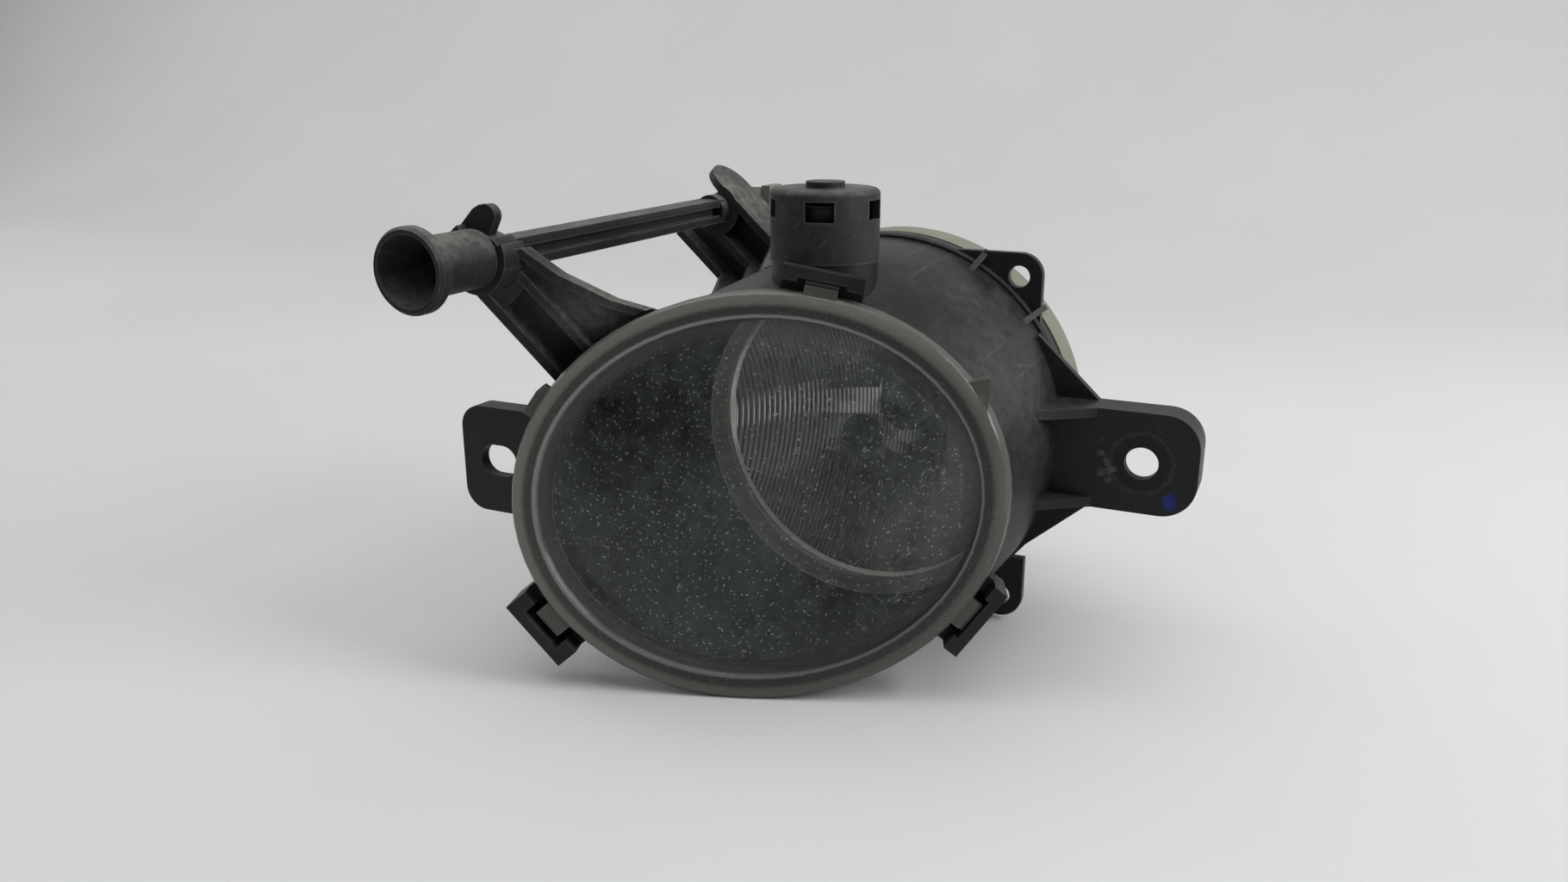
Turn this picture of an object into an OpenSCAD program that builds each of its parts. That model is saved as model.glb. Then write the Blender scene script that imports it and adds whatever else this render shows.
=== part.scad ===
// Front fog light with a swept oval lens, a round barrel and a tilting reflector.
// The optical axis runs along Y, the light leaves towards -Y, and +Z is up.
// The origin is the centre of the right ear's screw hole, on the ear's front face.

/* [Barrel] */
// Outer radius of the round rear end of the barrel
barrel_r = 52; // [51.5:0.1:52.8]
// Depth of the rear end of the barrel behind the reference plane
barrel_rear = 62; // [60:0.5:63]
// Wall of the barrel
barrel_wall = 2.5; // [1.6:0.1:2.8]
// How quickly the oval front turns into the round rear
barrel_ease = 2.5; // [2.2:0.1:3.5]
// Length of the straight oval lip behind the lens seal
barrel_lip = 6; // [5:0.5:7]
// Outer radius of the rear flange
flange_r = 53.3; // [53:0.1:54]
// Thickness of the rear flange
flange_t = 3; // [2:0.1:3]

/* [Lens] */
// Half length of the oval lens rim
lens_a = 61.1; // [59:0.1:63]
// Half height of the oval lens rim
lens_b = 51.2; // [50:0.1:53]
// Centre of the lens rim, sideways from the optical axis
lens_x = -8.6; // [-10:0.1:-7]
// Centre of the lens rim, along the optical axis
lens_y = -6.3; // [-8:0.1:-5]
// Centre of the lens rim, above the optical axis
lens_z = -5; // [-6:0.1:-4]
// Sweep of the lens about the vertical
lens_sweep = 20; // [18:0.5:22]
// Rake of the lens, leaning back at the top
lens_rake = 5; // [3:0.5:7]
// Tilt of the oval in its own plane
lens_tilt = 7; // [5:0.5:9]
// Thickness of the rim
lens_rim_t = 4; // [3:0.1:5]
// Width of the frosted outer band
lens_band = 6.2; // [5:0.1:7]
// Wall of the clear front
lens_wall = 2.8; // [2:0.1:3]
// How far the clear front bulges out
lens_bulge = 4.5; // [3:0.1:6]
// Length of the lens skirt behind the rim
lens_skirt = 5; // [4:0.1:5.5]
// Thickness of the lens skirt
lens_skirt_t = 2.4; // [1.6:0.1:2.6]
// Thickness of the rubber lens seal
lens_seal_t = 1.2; // [0.8:0.1:1.6]

/* [Bezel] */
// Gap between the barrel's wall and the bezel at the reflector opening
bezel_step = 2.1; // [2:0.1:2.5]
// How much the reflector opening narrows along its collar
bezel_cone = 3; // [2.2:0.1:3.5]
// Smallest gap between the barrel's wall and the bezel
bezel_gap = 0.5; // [0.3:0.1:0.8]
// Depth of the front edge of the opening
bezel_ring_y = 42; // [41:0.5:43]
// Length of the conical collar of the opening
bezel_collar_l = 6; // [5:0.1:6.5]
// Wall of the bezel
bezel_wall = 1.2; // [0.9:0.1:1.3]

/* [Ears] */
// Screw hole of the right ear, sideways from the optical axis
right_hole_x = 74; // [72:0.5:76]
// Front face of the right ear
right_face_y = 49; // [48:0.5:50]
// Diameter of the right ear's screw hole
right_hole_d = 8.5; // [6:0.1:10]
// Distance from the right hole to the ear's outer edge
right_edge = 14.1; // [13:0.1:16]
// Height of the right ear
right_ear_h = 26.8; // [25:0.1:30]
// Corner radius of the right ear
right_ear_r = 9; // [6:0.5:10]
// Depth of the right ear's skirt
right_skirt = 10; // [8:0.5:11]
// Middle of the left ear's slot, sideways from the optical axis
left_slot_x = -75.9; // [-78:0.1:-75]
// Front face of the left ear
left_face_y = -17.5; // [-19:0.5:-16.5]
// Width of the left ear's slot
left_slot_w = 8.2; // [6:0.1:9]
// Length of the left ear's slot
left_slot_l = 11; // [9:0.1:12]
// Distance from the middle of the slot to the ear's outer edge
left_edge = 11; // [9:0.1:13]
// Height of the left ear
left_ear_h = 28; // [24:0.1:30]
// Corner radius of the left ear
left_ear_r = 6; // [4:0.5:8]
// Depth of the left ear's skirt
left_skirt = 6; // [4:0.5:7]
// Plate thickness of both ears
ear_plate = 3; // [2:0.1:4]
// Wall of the ears' skirts and gussets
ear_wall = 2.5; // [1.6:0.1:3]
// Diameter of the holes in the two small flange ears
small_hole_d = 5.8; // [4:0.1:7]
// Corner radius of the small flange ears
small_ear_r = 6.3; // [5:0.1:7]

/* [Snap loops] */
// Width of a loop along the rim
loop_w = 20; // [17:0.5:24]
// How far the lower left loop stands out from the rim
loop_out = 8.5; // [7:0.5:9]
// How far the lower right loop stands out from the rim
right_loop_out = 6.2; // [5.8:0.1:7]
// How far the top loop stands out from the rim
top_loop_out = 6; // [5.5:0.1:6.5]
// Bar thickness of a loop
loop_bar = 2.6; // [2:0.1:3]
// Depth of the two lower loops, from the rim's front face
loop_depth = 13; // [11:0.5:14]
// Depth of the top loop, from the rim's front face
top_loop_depth = 8.5; // [8:0.1:9]
// Width of the lens lug in a loop
lug_w = 8; // [6:0.5:9]
// How far a lens lug stands out from the rim
lug_out = 4; // [3:0.1:4.5]

/* [Vent] */
// Sideways place of the vent chimney
vent_x = -2.5; // [-5:0.5:0]
// Place of the vent chimney along the optical axis
vent_y = 22; // [21:0.5:24]
// Outer diameter of the vent cap
cap_d = 27; // [25:0.1:28]
// How far the vent cap's lower edge is below the top of the barrel
cap_drop = 0.8; // [0:0.1:0.8]
// Height of the vent cap
cap_h = 17.3; // [16.5:0.1:19]
// Wall of the vent cap
cap_wall = 1.6; // [1.2:0.1:2]
// Width of a window in the cap
cap_window_w = 7; // [5:0.1:8]
// Height of a window in the cap
cap_window_h = 4.8; // [3:0.1:5.5]
// Number of windows in the cap
cap_windows = 5; // [3:1:6]
// Outer diameter of the vent chimney
chimney_d = 20; // [16:0.1:21]
// Height of the chimney inside the cap
chimney_h = 13; // [11:0.1:13.4]
// Wall of the chimney
chimney_wall = 2.5; // [1.5:0.1:3]
// Thickness of the vent membrane
membrane_t = 0.6; // [0.4:0.1:1]

/* [Adjuster] */
// Sideways place of the adjuster spindle
spindle_x = -66; // [-67:0.5:-65]
// Height of the adjuster spindle
spindle_z = 54.5; // [53.5:0.5:55.5]
// Front edge of the tool funnel
funnel_y = -56; // [-58:0.5:-55]
// Diameter of the tool funnel's mouth
funnel_d = 19.2; // [18.4:0.1:20]
// Diameter of the tube behind the funnel
tube_d = 13.6; // [13:0.1:15]
// Width across flats of the hex socket in the funnel
socket_af = 8; // [6:0.1:9]
// Front face of the front arm's bearing
front_bearing_y = -33.5; // [-34:0.5:-33]
// Length of the front arm's bearing
front_bearing_l = 8; // [7:0.5:10]
// Front face of the rear arm's bearing
rear_bearing_y = 84; // [83:0.5:85]
// Length of the rear arm's bearing
rear_bearing_l = 8; // [6:0.5:9]
// Diameter of the front journal
front_journal_d = 11; // [10.6:0.1:11.5]
// Diameter of the rear journal
rear_journal_d = 9.6; // [8.6:0.1:10]
// Height of the spindle's H-shaped section
beam_h = 7; // [6:0.1:7.4]
// Width of the spindle's H-shaped section
beam_w = 7.5; // [6:0.1:7.6]
// Flange thickness of the spindle's section
beam_flange = 2.2; // [1.6:0.1:2.6]
// Diameter of the threaded tail
thread_d = 6; // [5:0.1:7]
// Length of the threaded tail
thread_l = 31; // [30.5:0.5:34]
// Length of the adjuster nut
nut_l = 8; // [7:0.1:9]
// Width of the adjuster nut
nut_w = 11; // [10:0.1:12]
// Diameter of the nut's side pins
trunnion_d = 4; // [3:0.1:4.5]

/* [Arms] */
// Slope of the arms, below the horizontal
arm_slope = 42.5; // [41:0.5:44]
// Rib and web thickness of the arms
arm_rib = 2.4; // [1.8:0.1:2.6]
// Distance of the arms' lower rib below the spindle
arm_low = 11.7; // [11:0.1:12.5]
// Sweep of the front arm: how far it runs back for each millimetre along it
arm_sweep = 0.75; // [0.7:0.01:0.8]
// Distance of the front arm from the lens rim
arm_gap = 1; // [0.8:0.1:1.5]
// Wall of the spindle cradles
cradle_wall = 3; // [2.4:0.1:3.2]
// Height of the finger beside the front cradle
finger_h = 12.1; // [11.5:0.1:12.5]
// Radius of the finger's tip
finger_r = 2.6; // [2.3:0.1:2.8]
// Depth of the rear arm's top rib
paddle_depth = 17; // [14:0.5:17]
// Reach of the rear arm's top rib past the spindle
paddle_reach = 11.4; // [10:0.1:13]

/* [Reflector] */
// Focal length of the reflector
focal = 15; // [14:0.1:16]
// Radius of the reflector's opening
bowl_r = 43; // [42:0.1:43.5]
// Front edge of the reflector bowl
bowl_y = 51.5; // [51:0.1:52]
// Wall of the reflector bowl
bowl_wall = 2; // [1.5:0.1:2.2]
// Pitch of the vertical flutes
flute_pitch = 1.6; // [1.5:0.1:4]
// Depth of the flutes
flute_depth = 0.3; // [0.15:0.05:0.5]
// Outer radius of the rear shell
shell_r = 53; // [52.6:0.1:53.2]
// Front edge of the rear shell's skirt
shell_y = 68; // [67.6:0.1:68.4]
// Length of the rear shell's skirt
shell_skirt = 11; // [10:0.5:12]
// Wall of the rear shell
shell_wall = 2.5; // [2:0.1:2.6]
// Front face of the rear shell's bulb plate
plate_y = 92; // [91:0.5:93]
// Radius of the rear shell's bulb plate
plate_r = 37; // [35:0.5:39]
// Place of the tilt axis along the optical axis
pivot_y = 76; // [75.6:0.1:76.4]
// Diameter of the pivot pins
pivot_d = 4; // [3:0.1:5]
// Screw circle radius of the reflector screws
screw_circle = 24; // [23.5:0.5:26]
// Thread diameter of the reflector screws
screw_d = 3; // [2.5:0.1:3.5]

/* [Bulb] */
// Diameter of the bulb glass
glass_d = 12; // [10:0.1:13]
// Tip of the bulb glass
glass_tip_y = 38; // [37:0.5:40]
// Radius of the bulb socket collar on the shell
collar_r = 19; // [17:0.5:20]
// Length of the bulb socket collar
collar_l = 6; // [5:0.5:8]
// Radius of the bulb base's body
base_r = 13; // [12:0.5:14]
// Length of the bulb base behind the collar
base_l = 16; // [14:0.5:18]
// Width of the connector shroud
plug_w = 21; // [18:0.5:23]
// Depth of the connector shroud, front to back
plug_d = 13; // [11:0.5:14]
// Lower end of the connector shroud, below the optical axis
plug_drop = 34; // [30:0.5:38]
// Wall of the connector shroud
plug_wall = 1.8; // [1.4:0.1:2.2]

/* [Clearances] */
// Radial clearance of a turning fit
turn_gap = 0.05; // [0.03:0.01:0.1]
// Clearance of a loose seat
seat_gap = 0.3; // [0.2:0.05:0.4]
// Clearance at the side pins in the lever fork
fork_gap = 0.25; // [0.2:0.05:0.4]

/* [Hidden] */
$fn = 64;
segments = 64;
over = 1;

// Directions of the lens plane: along the oval, up the oval
level = [cos(lens_sweep), sin(lens_sweep), 0];
upright = [-sin(lens_sweep) * sin(lens_rake), cos(lens_sweep) * sin(lens_rake), cos(lens_rake)];
oval_x = cos(lens_tilt) * level + sin(lens_tilt) * upright;
oval_z = cos(lens_tilt) * upright - sin(lens_tilt) * level;
lens_at = [lens_x, lens_y, lens_z];

// Insets from the rim's edge and depths behind its front plane
skirt_in = 4.5;
skirt_end = lens_rim_t + lens_skirt;
lip_front = lens_rim_t + lens_seal_t;
lip_inset = skirt_in - seat_gap;
lip_out = lip_inset - barrel_wall;
lip_end = lip_front + barrel_lip;

// Rear end of the barrel and the running parts behind it
flange_y = barrel_rear + flange_t;
spigot_r = shell_r - shell_wall - 2;
spigot_wall = 2;
spigot_end = shell_y + 3;
plate_back = plate_y + shell_wall;
collar_end = plate_back + collar_l;
vertex_y = bowl_y + bowl_r * bowl_r / (4 * focal);
bezel_ring_r = barrel_r - barrel_wall - bezel_wall - bezel_step;
bezel_throat_r = bezel_ring_r - bezel_cone;
throat_y = bezel_ring_y + bezel_collar_l;

// Lower edge of the vent cap
cap_z = barrel_r - cap_drop;

// Pivot lugs beside the rear shell
lug_x = shell_r + 1;
lug_t = 4.5;
lug_r = 5.5;
pin_in = 5;

// Spindle stations behind the rear bearing
clip_y = rear_bearing_y + rear_bearing_l + 0.2;
clip_t = 1;
clip_d = rear_journal_d + 2.4;
thread_y = clip_y + clip_t + 0.6;
nut_y = thread_y + thread_l / 2 - nut_l / 2;
trunnion_y = nut_y + nut_l / 2;

// Helpers

// A point of the lens: a along the oval, c up the oval, d behind the rim's front plane
function lens_pt(a, c, d) = lens_at + oval_x * a + oval_z * c + [0, d, 0];
function oval_ring(inset, d) = [for (i = [0 : segments - 1])
    let (t = 360 * i / segments)
    lens_pt((lens_a - inset) * cos(t), (lens_b - inset) * sin(t), d)];
function dome_ring(k, d) = let (a = lens_a - lens_band - 5, b = lens_b - lens_band - 5)
    [for (i = [0 : segments - 1]) let (t = 360 * i / segments) lens_pt(a * k * cos(t), b * k * sin(t), d)];
function round_ring(r, y) = [for (i = [0 : segments - 1])
    let (t = 360 * i / segments + lens_tilt) [r * cos(t), y, r * sin(t)]];
function mix(p, q, k) = p + (q - p) * k;
// A ring part of the way from an oval ring to a round one, turning round early
function blend_ring(p, q, k) = [for (i = [0 : segments - 1])
    let (e = 1 - pow(1 - k, barrel_ease))
    [mix(p[i].x, q[i].x, e), mix(p[i].y, q[i].y, k), mix(p[i].z, q[i].z, e)]];

// A solid through a list of rings, closed by flat ends or, when looped, back to the first ring
module ring_loft(rings, looped = false) {
    n = len(rings[0]);
    m = len(rings);
    steps = looped ? m : m - 1;
    sides = [for (k = [0 : steps - 1], i = [0 : n - 1])
        let (a = k * n + i, b = k * n + (i + 1) % n, c = ((k + 1) % m) * n + i, d = ((k + 1) % m) * n + (i + 1) % n)
        each [[a, b, d], [a, d, c]]];
    ends = looped ? [] : [[for (i = [n - 1 : -1 : 0]) i], [for (i = [0 : n - 1]) (m - 1) * n + i]];
    polyhedron(points = [for (r = rings) each r], faces = concat(sides, ends), convexity = 8);
}

// An outline drawn in X and Z, extruded from y0 towards the rear
module slab(y0, t) { translate([0, y0 + t, 0]) rotate([90, 0, 0]) linear_extrude(t) children(); }
// A profile of radius and depth, turned about an axis along Y
module turned() { rotate([-90, 0, 0]) rotate_extrude() children(); }
// A rod along Y from y0 to y1
module rod(x, z, d, y0, y1) { translate([x, y0, z]) rotate([-90, 0, 0]) cylinder(d = d, h = y1 - y0); }
// A rod along X from x0 to x1
module cross_rod(y, z, d, x0, x1) { translate([x0, y, z]) rotate([0, 90, 0]) cylinder(d = d, h = x1 - x0); }
// A rectangle with two round corners at its x1 end
module tab_outline(x0, x1, h, r) {
    s = sign(x1 - x0);
    a = min(x0, x1 - s * r);
    b = max(x0, x1 - s * r);
    translate([a, -h / 2]) square([b - a, h]);
    translate([min(x0, x1), -h / 2 + r]) square([abs(x1 - x0), h - 2 * r]);
    for (z = [-1, 1]) translate([x1 - s * r, z * (h / 2 - r)]) circle(r);
}
module placed() { translate([-right_hole_x, -right_face_y, 0]) children(); }

// Barrel

module barrel_solid(inset, r, front, rear) {
    lip = oval_ring(inset, lip_end);
    back = round_ring(r, barrel_rear);
    ring_loft([oval_ring(inset, front), each [for (k = [0 : 0.2 : 1.01]) blend_ring(lip, back, min(k, 1))],
        round_ring(r, rear)]);
}
module barrel_outer() { barrel_solid(lip_out, barrel_r, lip_front, barrel_rear + over); }
module barrel_inner() { barrel_solid(lip_inset, barrel_r - barrel_wall, lip_front - over, flange_y + over); }
module rear_end() {
    web_y = flange_y - ear_wall;
    joint_r = barrel_r - barrel_wall / 2;
    turned() {
        polygon([[joint_r, barrel_rear - 1], [flange_r - 0.6, barrel_rear - 1],
            [flange_r, barrel_rear - 0.4], [flange_r, flange_y], [spigot_r - spigot_wall, flange_y],
            [spigot_r - spigot_wall, web_y], [joint_r, web_y]]);
        translate([spigot_r - spigot_wall, web_y]) square([spigot_wall, spigot_end - web_y]);
    }
}

// Ears

module right_ear() {
    root = barrel_r - 8;
    edge = right_hole_x + right_edge;
    difference() {
        slab(right_face_y, right_skirt) tab_outline(root, edge, right_ear_h, right_ear_r);
        slab(right_face_y + ear_plate, right_skirt)
            tab_outline(barrel_r + 2, edge - ear_wall, right_ear_h - 2 * ear_wall, right_ear_r - ear_wall);
    }
    gusset_x = right_hole_x - 12;
    for (z = [-right_ear_h / 2, right_ear_h / 2 - ear_wall])
        translate([0, 0, z]) linear_extrude(ear_wall)
            polygon([[root, right_face_y - 13], [gusset_x, right_face_y], [gusset_x, right_face_y + right_skirt],
                [root, right_face_y + right_skirt]]);
    fin_x = gusset_x - 1;
    slab(right_face_y + right_skirt - ear_wall, ear_wall)
        polygon([[fin_x, right_ear_h / 2], [root, right_ear_h / 2 + 16], [root, right_ear_h / 2]]);
    slab(right_face_y, ear_wall)
        polygon([[fin_x, -right_ear_h / 2], [root, -right_ear_h / 2], [root - 6, -right_ear_h / 2 - 20]]);
}
module left_ear() {
    root = lens_x - lens_a + 11.7;
    edge = left_slot_x - left_edge;
    difference() {
        slab(left_face_y, left_skirt) tab_outline(root, edge, left_ear_h, left_ear_r);
        slab(left_face_y + ear_plate, left_skirt)
            tab_outline(root + over, edge + ear_wall, left_ear_h - 2 * ear_wall, left_ear_r - ear_wall);
    }
}
// An ear in the corner outside the rear flange, on the side and height given
module small_ear(x, z) {
    s = sign(z);
    inner = 10;
    slab(barrel_rear, flange_t - 0.5) difference() {
        union() {
            translate([min(inner, x), min(s * inner, z)]) square([abs(x - inner), abs(z - s * inner)]);
            translate([inner, min(s * inner, z + s * small_ear_r)])
                square([x - inner, abs(z + s * small_ear_r - s * inner)]);
            translate([inner, min(s * (abs(z) - 12), z)]) square([x + small_ear_r - inner, 12]);
            translate([x, z]) circle(small_ear_r);
        }
        circle(barrel_r - 1);
    }
}
module small_ear_rib(angle) {
    rotate([0, -angle, 0]) translate([0, 0, -0.8]) linear_extrude(1.6)
        polygon([[barrel_r - 3, barrel_rear - 9], [barrel_r + 5, barrel_rear + over], [barrel_r - 3, barrel_rear + over]]);
}

// Snap loops, each over one lug of the lens

// Angle round the oval of each loop, and the shape's place there
loops = [[66, top_loop_out, top_loop_depth], [205, loop_out, loop_depth], [-34, right_loop_out, loop_depth]];
rim_gap = 2.4;
function rim_radius(t) = 1 / sqrt(pow(cos(t) / lens_a, 2) + pow(sin(t) / lens_b, 2));
function rim_normal(t) = let (r = rim_radius(t)) atan2(r * sin(t) / (lens_b * lens_b), r * cos(t) / (lens_a * lens_a));
// Local X runs out from the rim, Y back from its front plane, and Z along the rim
module at_rim(t) {
    r = rim_radius(t);
    translate(lens_pt(r * cos(t), r * sin(t), 0)) rotate([-lens_rake, 0, lens_sweep])
        rotate([0, -lens_tilt - rim_normal(t), 0]) children();
}
module snap_loop(l) {
    window_w = lug_w + 4;
    at_rim(l[0]) difference() {
        translate([-6, 0, -loop_w / 2]) cube([6 + l[1], l[2], loop_w]);
        translate([-10, -over, -loop_w / 2 - over]) cube([10 + rim_gap, lip_front + over + 0.4, loop_w + 2 * over]);
        translate([-10, -over, -window_w / 2]) cube([10 + l[1] - loop_bar, l[2] - 3 + over, window_w]);
    }
}
module lens_lug(l) {
    reach = min(lug_out, l[1] - loop_bar - 0.4);
    at_rim(l[0]) {
        translate([-3, 0.6, -lug_w / 2]) cube([3 + reach - 1, 1.4, lug_w]);
        translate([-3, 1.4, -lug_w / 2]) cube([3 + reach, lens_rim_t - 2, lug_w]);
    }
}

// Vent

module chimney() {
    bottom = barrel_r - 14;
    translate([vent_x, vent_y, bottom]) {
        cylinder(d = cap_d - 0.6, h = cap_z - bottom);
        cylinder(d = chimney_d, h = cap_z + chimney_h - bottom);
    }
}
module chimney_bore() {
    translate([vent_x, vent_y, 0]) cylinder(d = chimney_d - 2 * chimney_wall, h = cap_z + chimney_h + over);
}

// Pivot lugs on both sides of the rear shell

module pivot_lug(side, front) {
    x0 = side > 0 ? lug_x : -lug_x - lug_t;
    translate([x0, front, -lug_r]) cube([lug_t, pivot_y - front, 2 * lug_r]);
    cross_rod(pivot_y, 0, 2 * lug_r, x0, x0 + lug_t);
}

module housing() color("dimgray") placed() difference() {
    union() {
        difference() {
            union() {
                barrel_outer();
                right_ear();
                left_ear();
                difference() {
                    for (l = loops) snap_loop(l);
                    translate([vent_x, vent_y, cap_z]) cylinder(d = cap_d + 1.2, h = cap_h);
                }
                chimney();
                for (angle = [61, 39]) small_ear_rib(angle);
                slab(barrel_rear, flange_t) translate([-lug_x - lug_t, -lug_r]) square([12, 2 * lug_r]);
            }
            barrel_inner();
        }
        rear_end();
        small_ear(36.7, 43.4);
        small_ear(36.2, -48.4);
        pivot_lug(1, right_face_y + over);
        pivot_lug(-1, barrel_rear);
    }
    rod(right_hole_x, 0, right_hole_d, right_face_y - over, right_face_y + ear_plate + over);
    for (x = [-1, 1]) rod(left_slot_x + x * (left_slot_l - left_slot_w) / 2, 0, left_slot_w,
        left_face_y - over, left_face_y + ear_plate + over);
    translate([left_slot_x - (left_slot_l - left_slot_w) / 2, left_face_y - over, -left_slot_w / 2])
        cube([left_slot_l - left_slot_w, ear_plate + 2 * over, left_slot_w]);
    for (p = [[36.7, 43.4], [36.2, -48.4]])
        rod(p.x, p.y, small_hole_d, barrel_rear - 4, flange_y + over);
    chimney_bore();
    cross_rod(pivot_y, 0, pivot_d, -lug_x - lug_t - over, -lug_x + over);
    cross_rod(pivot_y, 0, pivot_d, lug_x - over, lug_x + lug_t + over);
}

// Arms that carry the adjuster spindle

// Local X runs from the spindle to the barrel, Y stays, and Z across the arm
module at_spindle() { translate([spindle_x, 0, spindle_z]) rotate([0, arm_slope, 0]) children(); }
// A rib from one local point to another, its outline drawn in distance and Y
module rib(p, q) {
    translate([p[0], 0, p[1]]) rotate([0, -atan2(q[1] - p[1], q[0] - p[0]), 0])
        translate([0, 0, -arm_rib / 2]) linear_extrude(arm_rib) children();
}
// An open bearing round the spindle, parted between two angles from the horizontal
module cradle(d, y, l, from, to) {
    r = d / 2 + cradle_wall;
    difference() {
        rod(spindle_x, spindle_z, 2 * r, y, y + l);
        translate([spindle_x, 0, spindle_z]) slab(y - over, l + 2 * over)
            polygon([[0, 0], [2 * r * cos(from), 2 * r * sin(from)], [2 * r * cos((from + to) / 2), 2 * r * sin((from + to) / 2)],
                [2 * r * cos(to), 2 * r * sin(to)]]);
    }
}

// The arm's outlines, drawn across it: the edge below, the edge above and the three ribs
arm_root = 45;
arm_under = [[-5, -4.3], [2.5, -8.1], [arm_root, -29.7]];
arm_over = [[arm_root, 15.8], [33, 10.8], [25, 8], [14, 6.9], [9, 7.6], [5.6, 8.2], [3.6, 5], [-4, 3]];
module arm_band(edge, t) { polygon(concat(edge, [for (i = [len(edge) - 1 : -1 : 0]) edge[i] - [0, t]])); }
// A layer of the arm between two depths, swept back towards the barrel
module arm_layer(y0, y1) {
    start = -6;
    intersection() {
        slab(front_bearing_y, 60) children();
        translate([0, 0, -40]) linear_extrude(80) polygon([[start, y0 + start * arm_sweep],
            [arm_root, y0 + arm_root * arm_sweep], [arm_root, y1 + arm_root * arm_sweep], [start, y1 + start * arm_sweep]]);
    }
}
module front_arm() color("dimgray") placed() difference() {
    front = front_bearing_y + 0.5;
    finger_y = front_bearing_y + 2.5;
    tip = [2, finger_h - finger_r];
    inset = 1;
    union() {
        cradle(front_journal_d, front_bearing_y, front_bearing_l, 25, 120);
        translate([spindle_x, 0, spindle_z]) slab(finger_y, 2.6) {
            polygon([[-8.3, 0], [-6.6, 5.8], [-1.6, finger_h - 1.2], [0.4, finger_h - 0.1], tip,
                tip + finger_r * [0.9, -0.43], [2.6, 5], [-3.4, 3.4]]);
            translate(tip) circle(finger_r);
        }
        at_spindle() {
            arm_layer(front, front + 8) arm_band([for (p = arm_under) p + [0, arm_rib + 0.3]], arm_rib + 0.3);
            arm_layer(front, front + 8) arm_band([[0, 6.6], [arm_root, -14.6]], arm_rib);
            arm_layer(front, front + 3.6) arm_band(arm_over, arm_rib);
            arm_layer(front + 7.6 - arm_rib, front + 7.6)
                polygon(concat([for (p = arm_under) p + [0, inset]], [[arm_root, -15], [0, 6]]));
            arm_layer(front + 2, front + 4)
                polygon(concat([[0, 5.4], [arm_root, -15.8]], [for (p = arm_over) p - [0, inset]]));
            arm_layer(front + 0.4, front + 0.4 + arm_rib)
                polygon([[-4.5, -3.3], [2.5, -7.1], [9.5, -10.6], [10.5, 0.6], [6, 3], [3.4, 4.2], [-3.5, 2]]);
        }
    }
    rod(spindle_x, spindle_z, front_journal_d + 2 * turn_gap, front_bearing_y - over, front_bearing_y + 30);
    barrel_outer();
    ring_loft([oval_ring(-arm_gap, -40), oval_ring(-arm_gap, lip_front + 0.6)]);
}

module rear_arm() color("dimgray") placed() difference() {
    rear = rear_bearing_y + rear_bearing_l;
    root = 50;
    foot = barrel_rear - 2;
    clear_r = shell_r + 4;
    ramp = norm([spindle_x, spindle_z]) - clear_r + 1.4;
    low = arm_rib / 2 - arm_low - 4;
    top = rear_journal_d / 2 + turn_gap + arm_rib / 2;
    tip_r = paddle_depth / 2;
    union() {
        cradle(rear_journal_d, rear_bearing_y, rear_bearing_l, 80, 175);
        at_spindle() {
            translate([0, rear, 0]) rotate([90, 0, 0]) linear_extrude(arm_rib)
                polygon([[-5, -arm_low - 4], [root, -arm_low - 4], [root, top], [-2, top], [-6, -4]]);
            for (z = [low, -5]) rib([z == low ? -5 : 0, z], [root, z])
                polygon([[0, rear_bearing_y], [ramp - 10, rear_bearing_y], [ramp, foot], [root, foot], [root, rear], [0, rear]]);
            rib([-paddle_reach, top], [root, top]) {
                polygon([[tip_r, rear_bearing_y], [ramp + paddle_reach - 9, rear_bearing_y], [ramp + paddle_reach, foot], [root, foot],
                    [root, rear_bearing_y + paddle_depth], [tip_r, rear_bearing_y + paddle_depth]]);
                translate([tip_r, rear_bearing_y + tip_r]) circle(tip_r);
            }
        }
    }
    rod(spindle_x, spindle_z, rear_journal_d + 2 * turn_gap, rear_bearing_y - over, rear + over);
    rod(spindle_x, spindle_z, clip_d + 1, rear, clip_y + clip_t + 1);
    rod(0, 0, 2 * clear_r, flange_y, rear_bearing_y + paddle_depth + over);
    rod(0, 0, 2 * flange_r, barrel_rear - 8, flange_y + over);
}

// Lens and seal

module lens() color("gray") placed() {
    edge = lens_band + 5;
    bulge = [for (k = [0.08, 0.3, 0.55, 0.8]) [k, lens_bulge * (1 - k * k)]];
    front = [for (b = bulge) dome_ring(b[0], -b[1])];
    rear = [for (k = [3 : -1 : 0]) dome_ring(bulge[k][0], lens_wall - bulge[k][1])];
    ring_loft(concat(front, [oval_ring(edge, 0), oval_ring(edge - 0.5, 0.1), oval_ring(edge - 0.8, 1),
        oval_ring(lens_band + 0.5, 1), oval_ring(lens_band, 0.2), oval_ring(lens_band / 2, 0), oval_ring(0.8, 0.2),
        oval_ring(0, 1), oval_ring(0, lens_rim_t), oval_ring(skirt_in, lens_rim_t), oval_ring(skirt_in, skirt_end),
        oval_ring(skirt_in + lens_skirt_t, skirt_end), oval_ring(skirt_in + lens_skirt_t, lens_rim_t),
        oval_ring(edge, lens_wall)], rear));
    for (l = loops) lens_lug(l);
    at_rim(149) slab(0.8, 2.4) polygon([[-3, -4.4], [1.2, -4.4], [1.9, -2], [1.9, 4.4], [-3, 4.4]]);
    at_rim(20) slab(0.8, 2.4) polygon([[-3, -4], [0, -4], [4.6, 1.6], [4.6, 2.6], [-0.2, 4.4], [-3, 4.4]]);
}
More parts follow.
